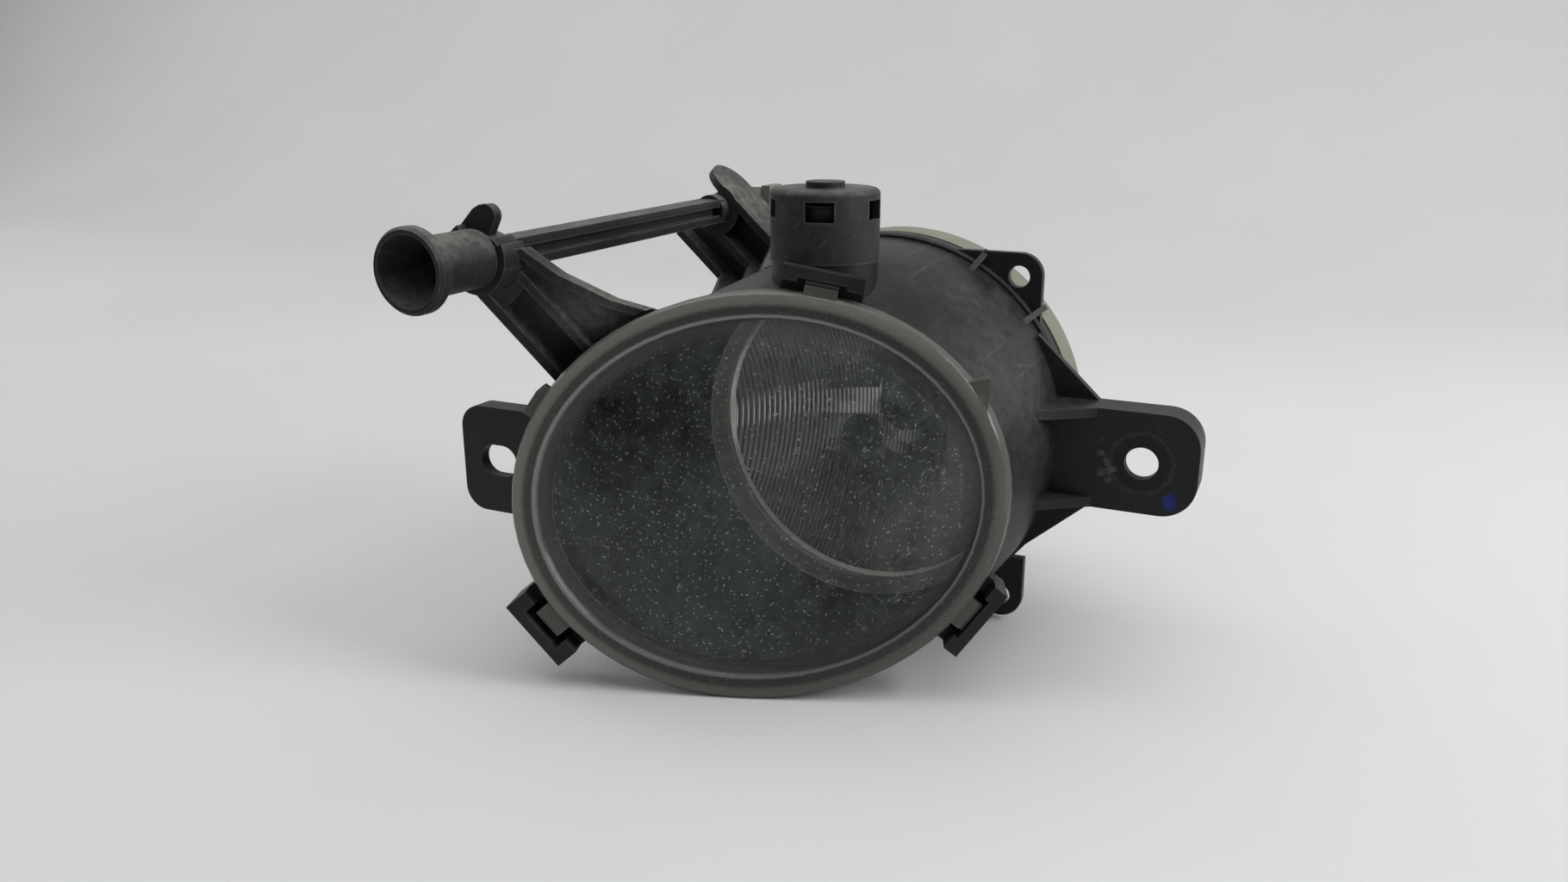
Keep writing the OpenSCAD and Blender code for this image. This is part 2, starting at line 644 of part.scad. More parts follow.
module lens_seal() color("black") placed()
    ring_loft([oval_ring(lip_out, lens_rim_t), oval_ring(lip_out, lip_front), oval_ring(lip_inset, lip_front),
        oval_ring(lip_inset, lens_rim_t)], looped = true);

// Bezel between the lens and the reflector

// A ring part of the way from the lens to the opening, kept a gap inside the barrel
function bezel_ring(p, q, k, gap) =
    let (lip = oval_ring(lip_inset, lip_end), back = round_ring(barrel_r - barrel_wall, barrel_rear))
    [for (i = [0 : segments - 1])
        let (c = mix(p[i], q[i], k), share = max(0, (c.y - lip[i].y) / (back[i].y - lip[i].y)),
            e = 1 - pow(1 - share, barrel_ease), inside = mix(lip[i], back[i], e),
            s = min(1, (norm([inside.x, inside.z]) - gap) / norm([c.x, c.z])))
        [c.x * s, c.y, c.z * s]];
module bezel() color("black") placed() {
    outer = skirt_in + 0.4;
    inner = skirt_in + lens_skirt_t + 1.2;
    front = skirt_end;
    stations = [0.25, 0.5, 0.75];
    back_start = oval_ring(inner - bezel_wall, front + bezel_wall);
    back_end = round_ring(bezel_ring_r + bezel_wall, bezel_ring_y + bezel_wall / 2);
    face_start = oval_ring(inner, front);
    face_end = round_ring(bezel_ring_r, bezel_ring_y);
    back = [for (k = [each stations, 1]) bezel_ring(back_start, back_end, k, bezel_gap)];
    face = [for (k = [3 : -1 : 0]) bezel_ring(face_start, face_end, [each stations, 1][k], bezel_gap + bezel_wall)];
    ring_loft(concat([oval_ring(outer, front), oval_ring(outer, front + bezel_wall), back_start], back,
        [round_ring(bezel_throat_r + bezel_wall, throat_y), round_ring(bezel_throat_r, throat_y)], face, [face_start]),
        looped = true);
}

// Vent cap and membrane

module vent_cap() color("dimgray") placed() translate([vent_x, vent_y, cap_z]) difference() {
    edge = 1.5;
    knob_r = 4.8;
    knob_h = 1.5;
    rotate_extrude() difference() {
        union() {
            square([cap_d / 2, cap_h - edge]);
            square([cap_d / 2 - edge, cap_h]);
            translate([cap_d / 2 - edge, cap_h - edge]) circle(edge);
            square([knob_r, cap_h + knob_h]);
        }
        translate([-over, -over]) square([cap_d / 2 - cap_wall + over, cap_h - 2 + over]);
        translate([-10, -10]) square([10, 2 * cap_d]);
    }
    for (i = [0 : cap_windows - 1]) rotate([0, 0, -73 + i * 360 / cap_windows])
        translate([cap_d / 2 - cap_wall - over, -cap_window_w / 2, cap_h - 2.5 - cap_window_h])
            cube([cap_wall + 2 * over, cap_window_w, cap_window_h]);
}
module vent_membrane() color("white") placed() translate([vent_x, vent_y, cap_z + chimney_h])
    cylinder(d = chimney_d - 1, h = membrane_t);

// Pivot pins and rear seal

module pivot_pins() color("silver") placed() for (s = [-1, 1])
    cross_rod(pivot_y, 0, pivot_d, s > 0 ? shell_r - pin_in : -lug_x - lug_t, s > 0 ? lug_x + lug_t : pin_in - shell_r);
module rear_seal() color("black") placed() turned()
    translate([spigot_r, spigot_end - 4]) square([1.4, 4]);

// Adjuster: funnel, tube, journals, H-section beam and threaded tail in one piece

module adjuster_spindle() color("dimgray") placed() difference() {
    rear = rear_bearing_y + rear_bearing_l;
    beam_front = front_bearing_y + front_bearing_l - over;
    lip = 3;
    groove_d = thread_d - 1;
    union() {
        translate([spindle_x, funnel_y, spindle_z]) turned() polygon([[0, 0], [funnel_d / 2 - 0.6, 0],
            [funnel_d / 2, 0.8], [funnel_d / 2, lip], [funnel_d / 2 - 1, lip + 0.6], [funnel_d / 2 - 1.2, lip + 2.2],
            [tube_d / 2 + 0.4, lip + 3], [tube_d / 2, lip + 6],
            [tube_d / 2, front_bearing_y - funnel_y - seat_gap], [0, front_bearing_y - funnel_y - seat_gap]]);
        rod(spindle_x, spindle_z, front_journal_d, front_bearing_y - over, front_bearing_y + front_bearing_l);
        translate([spindle_x - beam_w / 2, beam_front, spindle_z]) {
            for (z = [-beam_h / 2, beam_h / 2 - beam_flange])
                translate([0, 0, z]) cube([beam_w, rear_bearing_y - beam_front - seat_gap, beam_flange]);
            translate([beam_w / 2 - 1.2, 0, -beam_h / 2])
                cube([2.4, rear_bearing_y - beam_front - seat_gap, beam_h]);
        }
        rod(spindle_x, spindle_z, rear_journal_d, rear_bearing_y - 4, rear + 0.1);
        rod(spindle_x, spindle_z, groove_d, rear, thread_y + over);
        rod(spindle_x, spindle_z, thread_d, thread_y, thread_y + thread_l);
    }
    translate([spindle_x, funnel_y - 0.01, spindle_z]) turned()
        polygon([[0, 0], [funnel_d / 2 - 1.6, 0], [socket_af / 2, 11], [0, 11]]);
    translate([spindle_x, funnel_y + 10, spindle_z]) rotate([-90, 0, 0])
        cylinder(d = socket_af / cos(30), h = 12, $fn = 6);
}
module spindle_clip() color("silver") placed() difference() {
    rod(spindle_x, spindle_z, clip_d, clip_y, clip_y + clip_t);
    rod(spindle_x, spindle_z, thread_d - 1, clip_y - over, clip_y + clip_t + over);
    translate([spindle_x - 2, clip_y - over, spindle_z - 10]) cube([4, clip_t + 2 * over, 10]);
}
module adjuster_nut() color("ivory") placed() difference() {
    union() {
        translate([spindle_x - nut_w / 2, nut_y, spindle_z - nut_w / 2]) cube([nut_w, nut_l, nut_w]);
        cross_rod(trunnion_y, spindle_z, trunnion_d, spindle_x - nut_w / 2 - 4, spindle_x + nut_w / 2 + 4);
    }
    rod(spindle_x, spindle_z, thread_d + 2 * turn_gap, nut_y - over, nut_y + nut_l + over);
}

// Rear shell with the tilt bosses, the lever and the bulb socket

module lever() {
    fork_in = nut_w / 2 + 0.5;
    fork_t = 3;
    front = trunnion_y - 4.5;
    depth = 9;
    slot_h = trunnion_d + 3.2;
    bar_z = spindle_z - nut_w / 2 - 10;
    difference() {
        union() {
            for (s = [-1, 1]) translate([spindle_x + (s > 0 ? fork_in : -fork_in - fork_t), front, bar_z])
                cube([fork_t, depth, spindle_z + 6 - bar_z]);
            translate([spindle_x - fork_in, front, bar_z]) cube([2 * fork_in, depth, 6]);
        }
        translate([spindle_x - nut_w, trunnion_y - trunnion_d / 2 - fork_gap, spindle_z - slot_h / 2])
            cube([2 * nut_w, trunnion_d + 2 * fork_gap, slot_h]);
    }
    reach = norm([spindle_x, bar_z + 3]);
    rotate([0, -atan2(bar_z + 3, spindle_x), 0]) translate([0, 0, -4]) linear_extrude(8)
        polygon([[collar_r + 3, plate_y + 1], [plate_r, plate_y + 1], [plate_r + 8, front], [reach, front],
            [reach, front + depth], [plate_r + 11, front + depth], [collar_r + 3, plate_back + 2]]);
}
module rear_shell() color("tan") placed() difference() {
    union() {
        turned() {
            polygon([[shell_r - shell_wall, shell_y], [shell_r, shell_y], [shell_r, shell_y + shell_skirt],
                [shell_r - 3, shell_y + shell_skirt + 5], [plate_r, plate_back], [collar_r, plate_back],
                [collar_r, collar_end], [collar_r - 2.5, collar_end], [collar_r - 2.5, plate_back],
                [glass_d / 2 + 4, plate_back], [glass_d / 2 + 4, plate_y], [plate_r - 1, plate_y],
                [shell_r - 3 - shell_wall, shell_y + shell_skirt + 3.5], [shell_r - shell_wall, shell_y + shell_skirt - 1]]);
        }
        for (s = [-1, 1]) cross_rod(pivot_y, 0, pivot_d + 4, s > 0 ? shell_r - pin_in - 2 : -shell_r + 0.4,
            s > 0 ? shell_r - 0.4 : -shell_r + pin_in + 2);
        lever();
    }
    for (s = [-1, 1]) cross_rod(pivot_y, 0, pivot_d + 2 * turn_gap, s > 0 ? shell_r - pin_in - 0.5 : -shell_r - over,
        s > 0 ? shell_r + over : -shell_r + pin_in + 0.5);
    for (i = [0 : 2]) rotate([0, i * 120 + 30, 0]) rod(screw_circle, 0, screw_d, plate_y - over, plate_back + over);
}

// Reflector: a paraboloid with vertical flutes round the bulb hole, on a flanged neck

function bowl_depth(r2) = vertex_y - r2 / (4 * focal);
// Columns run up the bowl, three to a flute. Each is parted at the bulb hole or at its middle.
module fluted_bowl(hole_r) {
    columns = 3 * floor(2 * bowl_r / flute_pitch);
    rows = 6;
    n = 2 * rows + 2;
    half = bowl_r - 0.25;
    xs = [for (i = [0 : columns]) half * (2 * i / columns - 1)];
    tops = [for (x = xs) sqrt(bowl_r * bowl_r - x * x)];
    gaps = [for (x = xs) abs(x) < hole_r - 0.2 ? sqrt(hole_r * hole_r - x * x) : 0];
    flat = [for (i = [0 : columns], j = [0 : n - 1])
        let (k = j <= rows ? 1 - j / rows : (j - rows - 1) / rows, z = gaps[i] + (tops[i] - gaps[i]) * k)
        [xs[i], j <= rows ? -z : z]];
    ridge = [for (i = [0 : columns]) flute_depth * abs(sin(60 * i))];
    front = [for (k = [0 : len(flat) - 1]) let (p = flat[k]) [p[0], bowl_depth(p * p) - ridge[floor(k / n)], p[1]]];
    back = [for (p = flat) [p[0], bowl_depth(p * p) + bowl_wall, p[1]]];
    count = len(flat);
    // Where a column isn't parted, its two middle points are one
    function at(i, j) = i * n + (j == rows + 1 && gaps[i] == 0 ? rows : j);
    cells = [for (i = [0 : columns - 1], j = [0 : n - 2]) if (j != rows) [i, j]];
    skin = [for (c = cells)
        let (a = at(c[0], c[1]), b = at(c[0], c[1] + 1), d = at(c[0] + 1, c[1]), e = at(c[0] + 1, c[1] + 1))
        each [[a, e, d], [a, b, e]]];
    inside = [for (f = skin) [f[0] + count, f[2] + count, f[1] + count]];
    ends = [for (j = [0 : n - 1]) if (j != rows + 1) j];
    rim = concat([for (i = [0 : columns - 1]) at(i, 0)], [for (j = [0 : len(ends) - 2]) at(columns, ends[j])],
        [for (i = [columns : -1 : 1]) at(i, n - 1)], [for (j = [len(ends) - 1 : -1 : 1]) at(0, ends[j])]);
    parted = [for (i = [0 : columns]) if (gaps[i] > 0) i];
    first = parted[0] - 1;
    last = parted[len(parted) - 1] + 1;
    hole = concat([for (i = [first : last]) at(i, rows)], [for (i = [last - 1 : -1 : first + 1]) at(i, rows + 1)]);
    walls = [for (k = [0 : len(rim) - 1]) let (a = rim[k], b = rim[(k + 1) % len(rim)])
        each [[a, b + count, a + count], [a, b, b + count]]];
    bore = [for (k = [0 : len(hole) - 1]) let (a = hole[k], b = hole[(k + 1) % len(hole)])
        each [[a, a + count, b + count], [a, b + count, b]]];
    polyhedron(points = concat(front, back), faces = concat(skin, inside, walls, bore), convexity = 6);
}
module reflector() color("silver") placed() difference() {
    hole_r = glass_d / 2 + 2.5;
    neck_r = hole_r + 3;
    flange_in = screw_circle + 5;
    union() {
        fluted_bowl(hole_r);
        turned() polygon([[hole_r + 0.3, vertex_y - 0.5], [neck_r, vertex_y - 0.5], [neck_r, plate_y - 4],
            [flange_in, plate_y - 4], [flange_in, plate_y], [hole_r + 0.3, plate_y]]);
    }
    for (i = [0 : 2]) rotate([0, i * 120 + 30, 0]) rod(screw_circle, 0, screw_d, plate_y - 4 - over, plate_y + over);
}
module reflector_screws() color("silver") placed() for (i = [0 : 2]) rotate([0, i * 120 + 30, 0]) {
    rod(screw_circle, 0, screw_d, plate_y - 5, plate_back + 0.5);
    rod(screw_circle, 0, 2 * screw_d, plate_back, plate_back + 2);
}

// Bulb and its base

module bulb_base() color("black") placed() difference() {
    union() {
        rod(0, 0, 2 * (collar_r - 2.5 - 1.5), plate_back, collar_end);
        rod(0, 0, 2 * collar_r, collar_end, collar_end + 3);
        rod(0, 0, 2 * base_r, collar_end, collar_end + base_l);
        translate([-plug_w / 2, collar_end + base_l - plug_d, -plug_drop]) cube([plug_w, plug_d, plug_drop]);
    }
    translate([-plug_w / 2 + plug_wall, collar_end + base_l - plug_d + plug_wall, -plug_drop - over])
        cube([plug_w - 2 * plug_wall, plug_d - 2 * plug_wall, plug_drop - base_r - 3 + over]);
    for (s = [-1, 1]) translate([s * 4 - 1.4, collar_end + base_l - plug_d / 2 - 0.4, -base_r - 3 - over])
        cube([2.8, 0.8, 7]);
}
module bulb_collar() color("silver") placed() turned()
    polygon([[glass_d / 2, plate_y - 8], [glass_d / 2 + 1.6, plate_y - 8], [glass_d / 2 + 1.6, plate_y],
        [glass_d / 2 + 3.4, plate_y], [glass_d / 2 + 3.4, plate_back], [glass_d / 2, plate_back]]);
module bulb_glass() color("white") placed() turned() {
    r = glass_d / 2;
    base = plate_back - 2;
    difference() {
        union() {
            translate([0, glass_tip_y + r]) square([r, base - glass_tip_y - r]);
            intersection() {
                translate([0, glass_tip_y + r]) circle(r);
                translate([0, glass_tip_y - over]) square([r, r + over]);
            }
        }
        translate([0, glass_tip_y + 2 + r]) square([r - 1.2, base - glass_tip_y - r - 8]);
    }
}
module filament() color("gray") placed() {
    focus = vertex_y - focal;
    top = plate_back - 8;
    for (s = [-1, 1]) rod(s * 1.8, 0, 0.8, focus - s * 2.4 - 0.4, top);
    rod(0, 0, 1.2, focus - 2.4, focus + 2.4);
    for (s = [-1, 1]) cross_rod(focus - s * 2.2, 0, 0.8, min(0, s * 1.8), max(0, s * 1.8));
}
module bulb_seal() color("orangered") placed() translate([0, collar_end - 2, 0]) turned()
    translate([collar_r - 2.5 - 0.75, 0]) circle(0.7);
module terminals() color("silver") placed() for (s = [-1, 1])
    translate([s * 4 - 1.4, collar_end + base_l - plug_d / 2 - 0.4, -plug_drop + 5])
        cube([2.8, 0.8, plug_drop - base_r - 2]);

housing();
front_arm();
rear_arm();
lens();
lens_seal();
bezel();
vent_cap();
vent_membrane();
pivot_pins();
rear_seal();
adjuster_spindle();
spindle_clip();
adjuster_nut();
rear_shell();
reflector();
reflector_screws();
bulb_base();
bulb_collar();
bulb_glass();
filament();
bulb_seal();
terminals();
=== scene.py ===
"""Looks of the fog light: materials, small details, floor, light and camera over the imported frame."""

import math

import bpy
from mathutils import Matrix, Vector


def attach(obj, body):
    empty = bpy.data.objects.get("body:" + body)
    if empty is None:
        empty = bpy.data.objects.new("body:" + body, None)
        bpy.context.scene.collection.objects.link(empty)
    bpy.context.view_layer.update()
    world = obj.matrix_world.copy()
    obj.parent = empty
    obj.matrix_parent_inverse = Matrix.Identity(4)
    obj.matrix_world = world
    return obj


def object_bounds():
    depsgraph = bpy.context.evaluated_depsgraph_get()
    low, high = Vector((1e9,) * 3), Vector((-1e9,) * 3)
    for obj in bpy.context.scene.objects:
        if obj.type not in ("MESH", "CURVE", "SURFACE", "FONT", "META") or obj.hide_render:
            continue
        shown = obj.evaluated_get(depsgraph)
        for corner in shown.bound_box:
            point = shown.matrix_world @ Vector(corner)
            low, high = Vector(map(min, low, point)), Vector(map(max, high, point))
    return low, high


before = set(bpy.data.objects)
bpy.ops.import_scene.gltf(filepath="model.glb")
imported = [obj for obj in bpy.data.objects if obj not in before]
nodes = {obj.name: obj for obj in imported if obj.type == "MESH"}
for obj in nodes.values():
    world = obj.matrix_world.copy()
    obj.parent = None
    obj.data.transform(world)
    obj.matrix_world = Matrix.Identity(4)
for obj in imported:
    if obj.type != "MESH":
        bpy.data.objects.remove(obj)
cad_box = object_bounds()

# Lengths are in millimetres unless a comment says metres. Places are from the optical axis, as in the
# part's source.
MM = 0.001
RIGHT_HOLE = Vector((74.0, 49.0, 0.0))

# Camera, found from the photograph: place, angles in degrees, focal length and frame in pixels, sensor
CAMERA_AT = (114.2, -254.3, 94.1)
CAMERA_AZIMUTH = 24.83
CAMERA_ELEVATION = 16.77
FOCAL_PIXELS = 1400.0
IMAGE_WIDTH = 1820.0
SENSOR_WIDTH = 36.0
CLIP_START = 10.0

# Lights: name, place, aim, sides in metres and watts
LIGHTS = (
    ("overhead", (0, 20, 1100), (0, 20, 0), (1.5, 1.3), 9.4),
    ("front_left", (-800, -700, 600), (0, 0, 0), (0.7, 0.7), 1.0),
    ("right", (900, 150, 450), (30, 20, 0), (0.5, 0.6), 8.0),
    ("backdrop", (-1300, 250, 900), (-700, 1000, 300), (1.0, 1.0), 6.0),
)
# World: its colour, and its strength at two heights of the view direction
SKY_COLOUR = (0.9, 0.93, 0.95)
SKY_HEIGHTS = (-0.2, 0.7)
SKY_STRENGTHS = (0.08, 0.36)
# Floor and backdrop, in metres: front edge, start and radius of the bend, top, half width; and its tones
FLOOR_FRONT = -3.0
BEND_START = 0.55
BEND_RADIUS = 0.5
BEND_STEPS = 12
BACKDROP_TOP = 2.5
FLOOR_HALF = 4.0
FLOOR_TONES = ((0.54, 0.55, 0.54), (0.6, 0.61, 0.6))

# Lens plane and oval, with angles in degrees
LENS_AT = Vector((-8.6, -6.3, -5.0))
LENS_SWEEP = 20.0
LENS_RAKE = 5.0
LENS_TILT = 7.0
LENS_HALF = (61.1, 51.2)
# Where the lens's finishes meet: insets from the edge, and depth behind the front plane
LUG_INSET = -0.2
EDGE_INSET = 0.3
CLEAR_INSET = 6.7
BACK_DEPTH = 4.1
LENS_FRONT, LENS_BACK, LENS_RIM, LENS_LUG = range(4)
# How much the lens hides what is behind it, and its tone, by inset from the edge; the tone's bright line from
# about 5.5 to 6.1 mm in is a painted highlight
LENS_REACH = 30.0
LENS_FILM = ((0.0, 0.95), (5.2, 0.92), (6.2, 0.92), (6.7, 0.5), (8.0, 0.42), (12.0, 0.38), (22.0, 0.34))
LENS_TONES_WITH_HIGHLIGHT = (
    (0.0, (0.1, 0.098, 0.09)),
    (0.5, (0.13, 0.128, 0.116)),
    (1.2, (0.142, 0.139, 0.125)),
    (2.7, (0.126, 0.124, 0.11)),
    (3.3, (0.078, 0.077, 0.07)),
    (3.7, (0.041, 0.041, 0.038)),
    (5.1, (0.034, 0.034, 0.031)),
    (5.45, (0.072, 0.072, 0.067)),
    (5.7, (0.204, 0.202, 0.186)),
    (6.1, (0.18, 0.178, 0.164)),
    (6.6, (0.096, 0.098, 0.094)),
    (8.0, (0.11, 0.118, 0.114)),
    (14.0, (0.11, 0.122, 0.121)),
)
# Insets between which the rim's finish gives way to the clear middle's
MIDDLE_INSETS = (7.0, 12.0)
# Painted light and shade on the rim: lighter towards the top and from right to left, as if lit from the upper
# left; two places, and the shade at each
RIM_PAINTED_LIGHT_HEIGHTS = (-55.0, 45.0)
RIM_HEIGHT_SHADES = (0.72, 1.1)
RIM_PAINTED_LIGHT_SIDES = (55.0, -70.0)
RIM_SIDE_SHADES = (0.58, 1.24)
# Where the lens was wiped: place, radius and strength
WIPED = (((-42.0, -15.0, 18.0), 34.0, 0.6), ((21.0, 4.0, 24.0), 14.0, 0.6))
# Dots and strokes of dirt on the lens, the most that they hide, their tone, their strength on the rim,
# and the most that film and dirt hide together
LENS_MARKS = (
    dict(scale=560.0, size=0.155, share=0.75),
    dict(scale=700.0, size=0.185, turn=30.0, share=0.65),
    dict(scale=330.0, size=0.085, turn=20.0, length=2.6),
    dict(scale=330.0, size=0.085, turn=75.0, length=2.2),
    dict(scale=330.0, size=0.085, turn=-40.0, length=3.0),
)
LENS_MARK_COVER = 0.38
LENS_MARK_TONE = (0.28, 0.285, 0.27)
RIM_MARK_STRENGTH = 0.15
LENS_MOST_COVER = 0.97

# Scuffs on the moulded plastics, the strength of grit, and the width of worn edges, which also carry a
# painted highlight
SCUFFS = (
    dict(scale=260.0, size=0.1, turn=35.0, length=5.0, share=0.25),
    dict(scale=220.0, size=0.1, turn=-50.0, length=6.0, share=0.2),
)
GRIT_STRENGTH = 0.2
EDGE_WEAR_AND_HIGHLIGHT_WIDTH = 0.8
# Part of a speck's size that is marked in full, half width of a painted mark's edge, depth of fine grain
SPECK_CORE = 0.4
MARK_EDGE = 0.4
GRAIN_DEPTH = 0.2
# Marks on the right ear: place, inner and outer radius, raggedness, strength and colour
DIRT = (0.15, 0.135, 0.11)
BLUE = (0.012, 0.02, 0.15)
EAR_MARKS = (
    ((74, 49, 0), 7.7, 8.2, 0.6, 0.35, (0.07, 0.064, 0.052)),
    ((74, 49, 0), 0, 7.2, 0.6, 0.6, (0.004, 0.005, 0.006)),
    ((81.6, 49, -9.0), 0, 1.7, 0.2, 1.0, BLUE),
    ((81.7, 49, -10.0), 0, 1.6, 0.2, 1.0, BLUE),
    ((64.2, 49, 1.6), 0, 0.7, 0.9, 0.4, DIRT),
    ((65.6, 49, -0.8), 0, 1.0, 0.9, 0.35, DIRT),
    ((66.9, 49, -2.4), 0, 0.8, 0.9, 0.45, DIRT),
    ((64.6, 49, -3.6), 0, 1.2, 0.9, 0.3, DIRT),
    ((66.2, 49, -5.2), 0, 0.8, 0.9, 0.3, DIRT),
)
# Painted light in the dust's colour, where light falls on the front arm's upper web and on the barrel's top
# and right side: place, radius and strength
ARM_PAINTED_LIGHT = (((-50.5, -15.5, 41.0), 12.0, 0.4), ((-44.0, -10.5, 37.5), 10.0, 0.4))
BARREL_PAINTED_LIGHT = (((-22.0, 9.0, 44.0), 16.0, 0.6), ((46.0, 37.0, 13.0), 26.0, 0.26))

# Shading of the CAD nodes: all are smooth but the named ones, with edges kept above an angle in degrees
FLAT_SHADED = ("reflector", "terminals")
SHARP_ANGLE = 35.0
WELD_GAP = 0.02

# Thread on the spindle's tail: its profile is the rise over the core, and the shift in pitches
SPINDLE_X = -66.0
SPINDLE_Z = 54.5
THREAD_Y = 93.8
THREAD_LENGTH = 31.0
THREAD_RADIUS = 3.0
THREAD_PITCH = 1.5
THREAD_PROFILE = ((-0.1, -0.48), (0.42, -0.08), (0.42, 0.08), (-0.1, 0.48))
THREAD_TURN_STEPS = 28
# The crest rises and falls over this part of the thread at each end.
THREAD_RUNOUT = 1 / 12

# Band round the reflector's opening: its depths, how its faces point, and its painted highlight, in a light
# metal colour, from front to rear
BEZEL_RING_Y = 42.0
BEZEL_THROAT_Y = 48.0
BEZEL_RING_FACING = 0.2
BEZEL_RING_PAINTED_HIGHLIGHT = ((0.0, 0.9), (0.1, 0.25), (0.5, 0.0), (0.8, 0.2), (0.9, 1.0), (1.0, 1.0))

# Reflector bowl, and the depth of its flutes at places from left to right
BOWL_RADIUS = 43.0
BOWL_FOCAL = 15.0
BOWL_RIM_Y = 51.5
BOWL_VERTEX_Y = BOWL_RIM_Y + BOWL_RADIUS ** 2 / (4 * BOWL_FOCAL)
BOWL_BACK_Y = 83.0
BULB_HOLE = 8.5
FLUTE_PITCH = 1.1
FLUTE_DEPTHS = ((-18.0, 0.2), (-6.0, 0.05), (10.0, 0.004))
FLUTE_STEPS = 3
FLUTE_ROWS = 10
# Metallised sheet over the bowl: margin at the sides, lift off the bowl, thickness, weld, sharp angle
FACE_MARGIN = 0.25
FACE_LIFT = 0.34
FACE_SHEET = 0.25
FACE_WELD = 0.005
FACE_ANGLE = 5.0
# Lip at the bowl's front edge, as radius and depth round its section
LIP = ((42.7, 51.35), (44.2, 50.3), (44.75, 50.45), (44.6, 51.6), (43.2, 52.4))
LIP_STEPS = 120
LIP_ANGLE = 30.0

# Where the bulb's black tip ends
BLACK_TIP_Y = 47.0


def row(x, y, z):
    """A place on the lamp as a point of the row frame, in metres."""
    return (Vector((x, y, z)) - RIGHT_HOLE) * MM


def lamp_point(point):
    """A point of the row frame as a place on the lamp."""
    return point / MM + RIGHT_HOLE


def lens_axes():
    """The directions along and up the oval."""
    sweep, rake, tilt = (math.radians(v) for v in (LENS_SWEEP, LENS_RAKE, LENS_TILT))
    level = Vector((math.cos(sweep), math.sin(sweep), 0))
    upright = Vector((-math.sin(sweep) * math.sin(rake), math.cos(sweep) * math.sin(rake), math.cos(rake)))
    along = level * math.cos(tilt) + upright * math.sin(tilt)
    up = upright * math.cos(tilt) - level * math.sin(tilt)
    return along, up


def lens_coordinates(point):
    """Inset from the rim's edge and depth behind its front plane, for a point of the row frame."""
    along, up = lens_axes()
    normal = up.cross(along)
    offset = lamp_point(point) - LENS_AT
    depth = offset.dot(normal) / normal.y
    flat = offset - Vector((0, depth, 0))
    a, b = flat.dot(along), flat.dot(up)
    share = math.hypot(a / LENS_HALF[0], b / LENS_HALF[1])
    reach = math.hypot(a, b)
    inset = reach / share - reach if reach else LENS_HALF[1]
    return inset, depth


# Shader nodes


def add(tree, kind, inputs=None, **settings):
    """A shader node with its inputs filled from values or other nodes' outputs."""
    node = tree.nodes.new(kind)
    for key, value in settings.items():
        setattr(node, key, value)
    for key, value in (inputs or {}).items():
        fill(tree, node.inputs[key], value)
    return node


def fill(tree, socket, value):
    """Links a socket to another node's output, or sets it to a value."""
    if isinstance(value, bpy.types.NodeSocket):
        tree.links.new(value, socket)
    else:
        socket.default_value = value


def new_material(name, **sockets):
    """A material with its node tree and principled shader, whose given sockets are set."""
    made = bpy.data.materials.new(name)
    made.use_nodes = True
    shader = made.node_tree.nodes["Principled BSDF"]
    feed(made.node_tree, shader, **sockets)
    return made, made.node_tree, shader


def feed(tree, shader, **sockets):
    """Fills a shader's sockets, with _ for each space in a name."""
    for key, value in sockets.items():
        fill(tree, shader.inputs[key.replace("_", " ")], value)


def tint(colour, share=1.0):
    """A share of a colour, for a colour socket."""
    return (*[part * share for part in colour], 1)


def place(tree):
    """The place on the object, in metres."""
    return add(tree, "ShaderNodeTexCoord").outputs["Object"]


def axes_of(tree, vector):
    """The X, Y and Z outputs of a vector."""
    return add(tree, "ShaderNodeSeparateXYZ", {0: vector}).outputs


def away_from(tree, centre):
    """The distance from a place on the lamp, in metres."""
    ends = {0: place(tree), 1: row(*centre)}
    return add(tree, "ShaderNodeVectorMath", ends, operation="DISTANCE").outputs["Value"]


def noise(tree, scale, detail=4.0, rough=0.55):
    """Noise with a number of features to a metre."""
    inputs = {"Vector": place(tree), "Scale": scale, "Detail": detail, "Roughness": rough}
    return add(tree, "ShaderNodeTexNoise", inputs).outputs["Fac"]


def spread(tree, value, low, high, to_low=0.0, to_high=1.0):
    """Maps low..high of a value to to_low..to_high, held at the ends."""
    inputs = {"Value": value, "From Min": low, "From Max": high, "To Min": to_low, "To Max": to_high}
    return add(tree, "ShaderNodeMapRange", inputs).outputs["Result"]


def pattern(tree, low, high, to_low=0.0, to_high=1.0, **texture):
    """Noise whose low..high is mapped to to_low..to_high."""
    return spread(tree, noise(tree, **texture), low, high, to_low, to_high)


def maths(tree, operation, a, b):
    """One operation on two values."""
    return add(tree, "ShaderNodeMath", {0: a, 1: b}, operation=operation).outputs[0]


def times(tree, a, b):
    """The product of two values."""
    return maths(tree, "MULTIPLY", a, b)


def plus(tree, base, layer, share):
    """A value with a share of a layer added."""
    return maths(tree, "ADD", base, times(tree, layer, share))


def strongest(tree, layers):
    """The highest of several layers."""
    highest = layers[0]
    for layer in layers[1:]:
        highest = maths(tree, "MAXIMUM", highest, layer)
    return highest


def mix(tree, factor, a, b):
    """Blends two colours."""
    node = add(tree, "ShaderNodeMix", data_type="RGBA")
    for key, kind, value in (("Factor", "VALUE", factor), ("A", "RGBA", a), ("B", "RGBA", b)):
        socket = [s for s in node.inputs if s.name == key and s.type == kind][0]
        fill(tree, socket, value)
    return [s for s in node.outputs if s.type == "RGBA"][0]


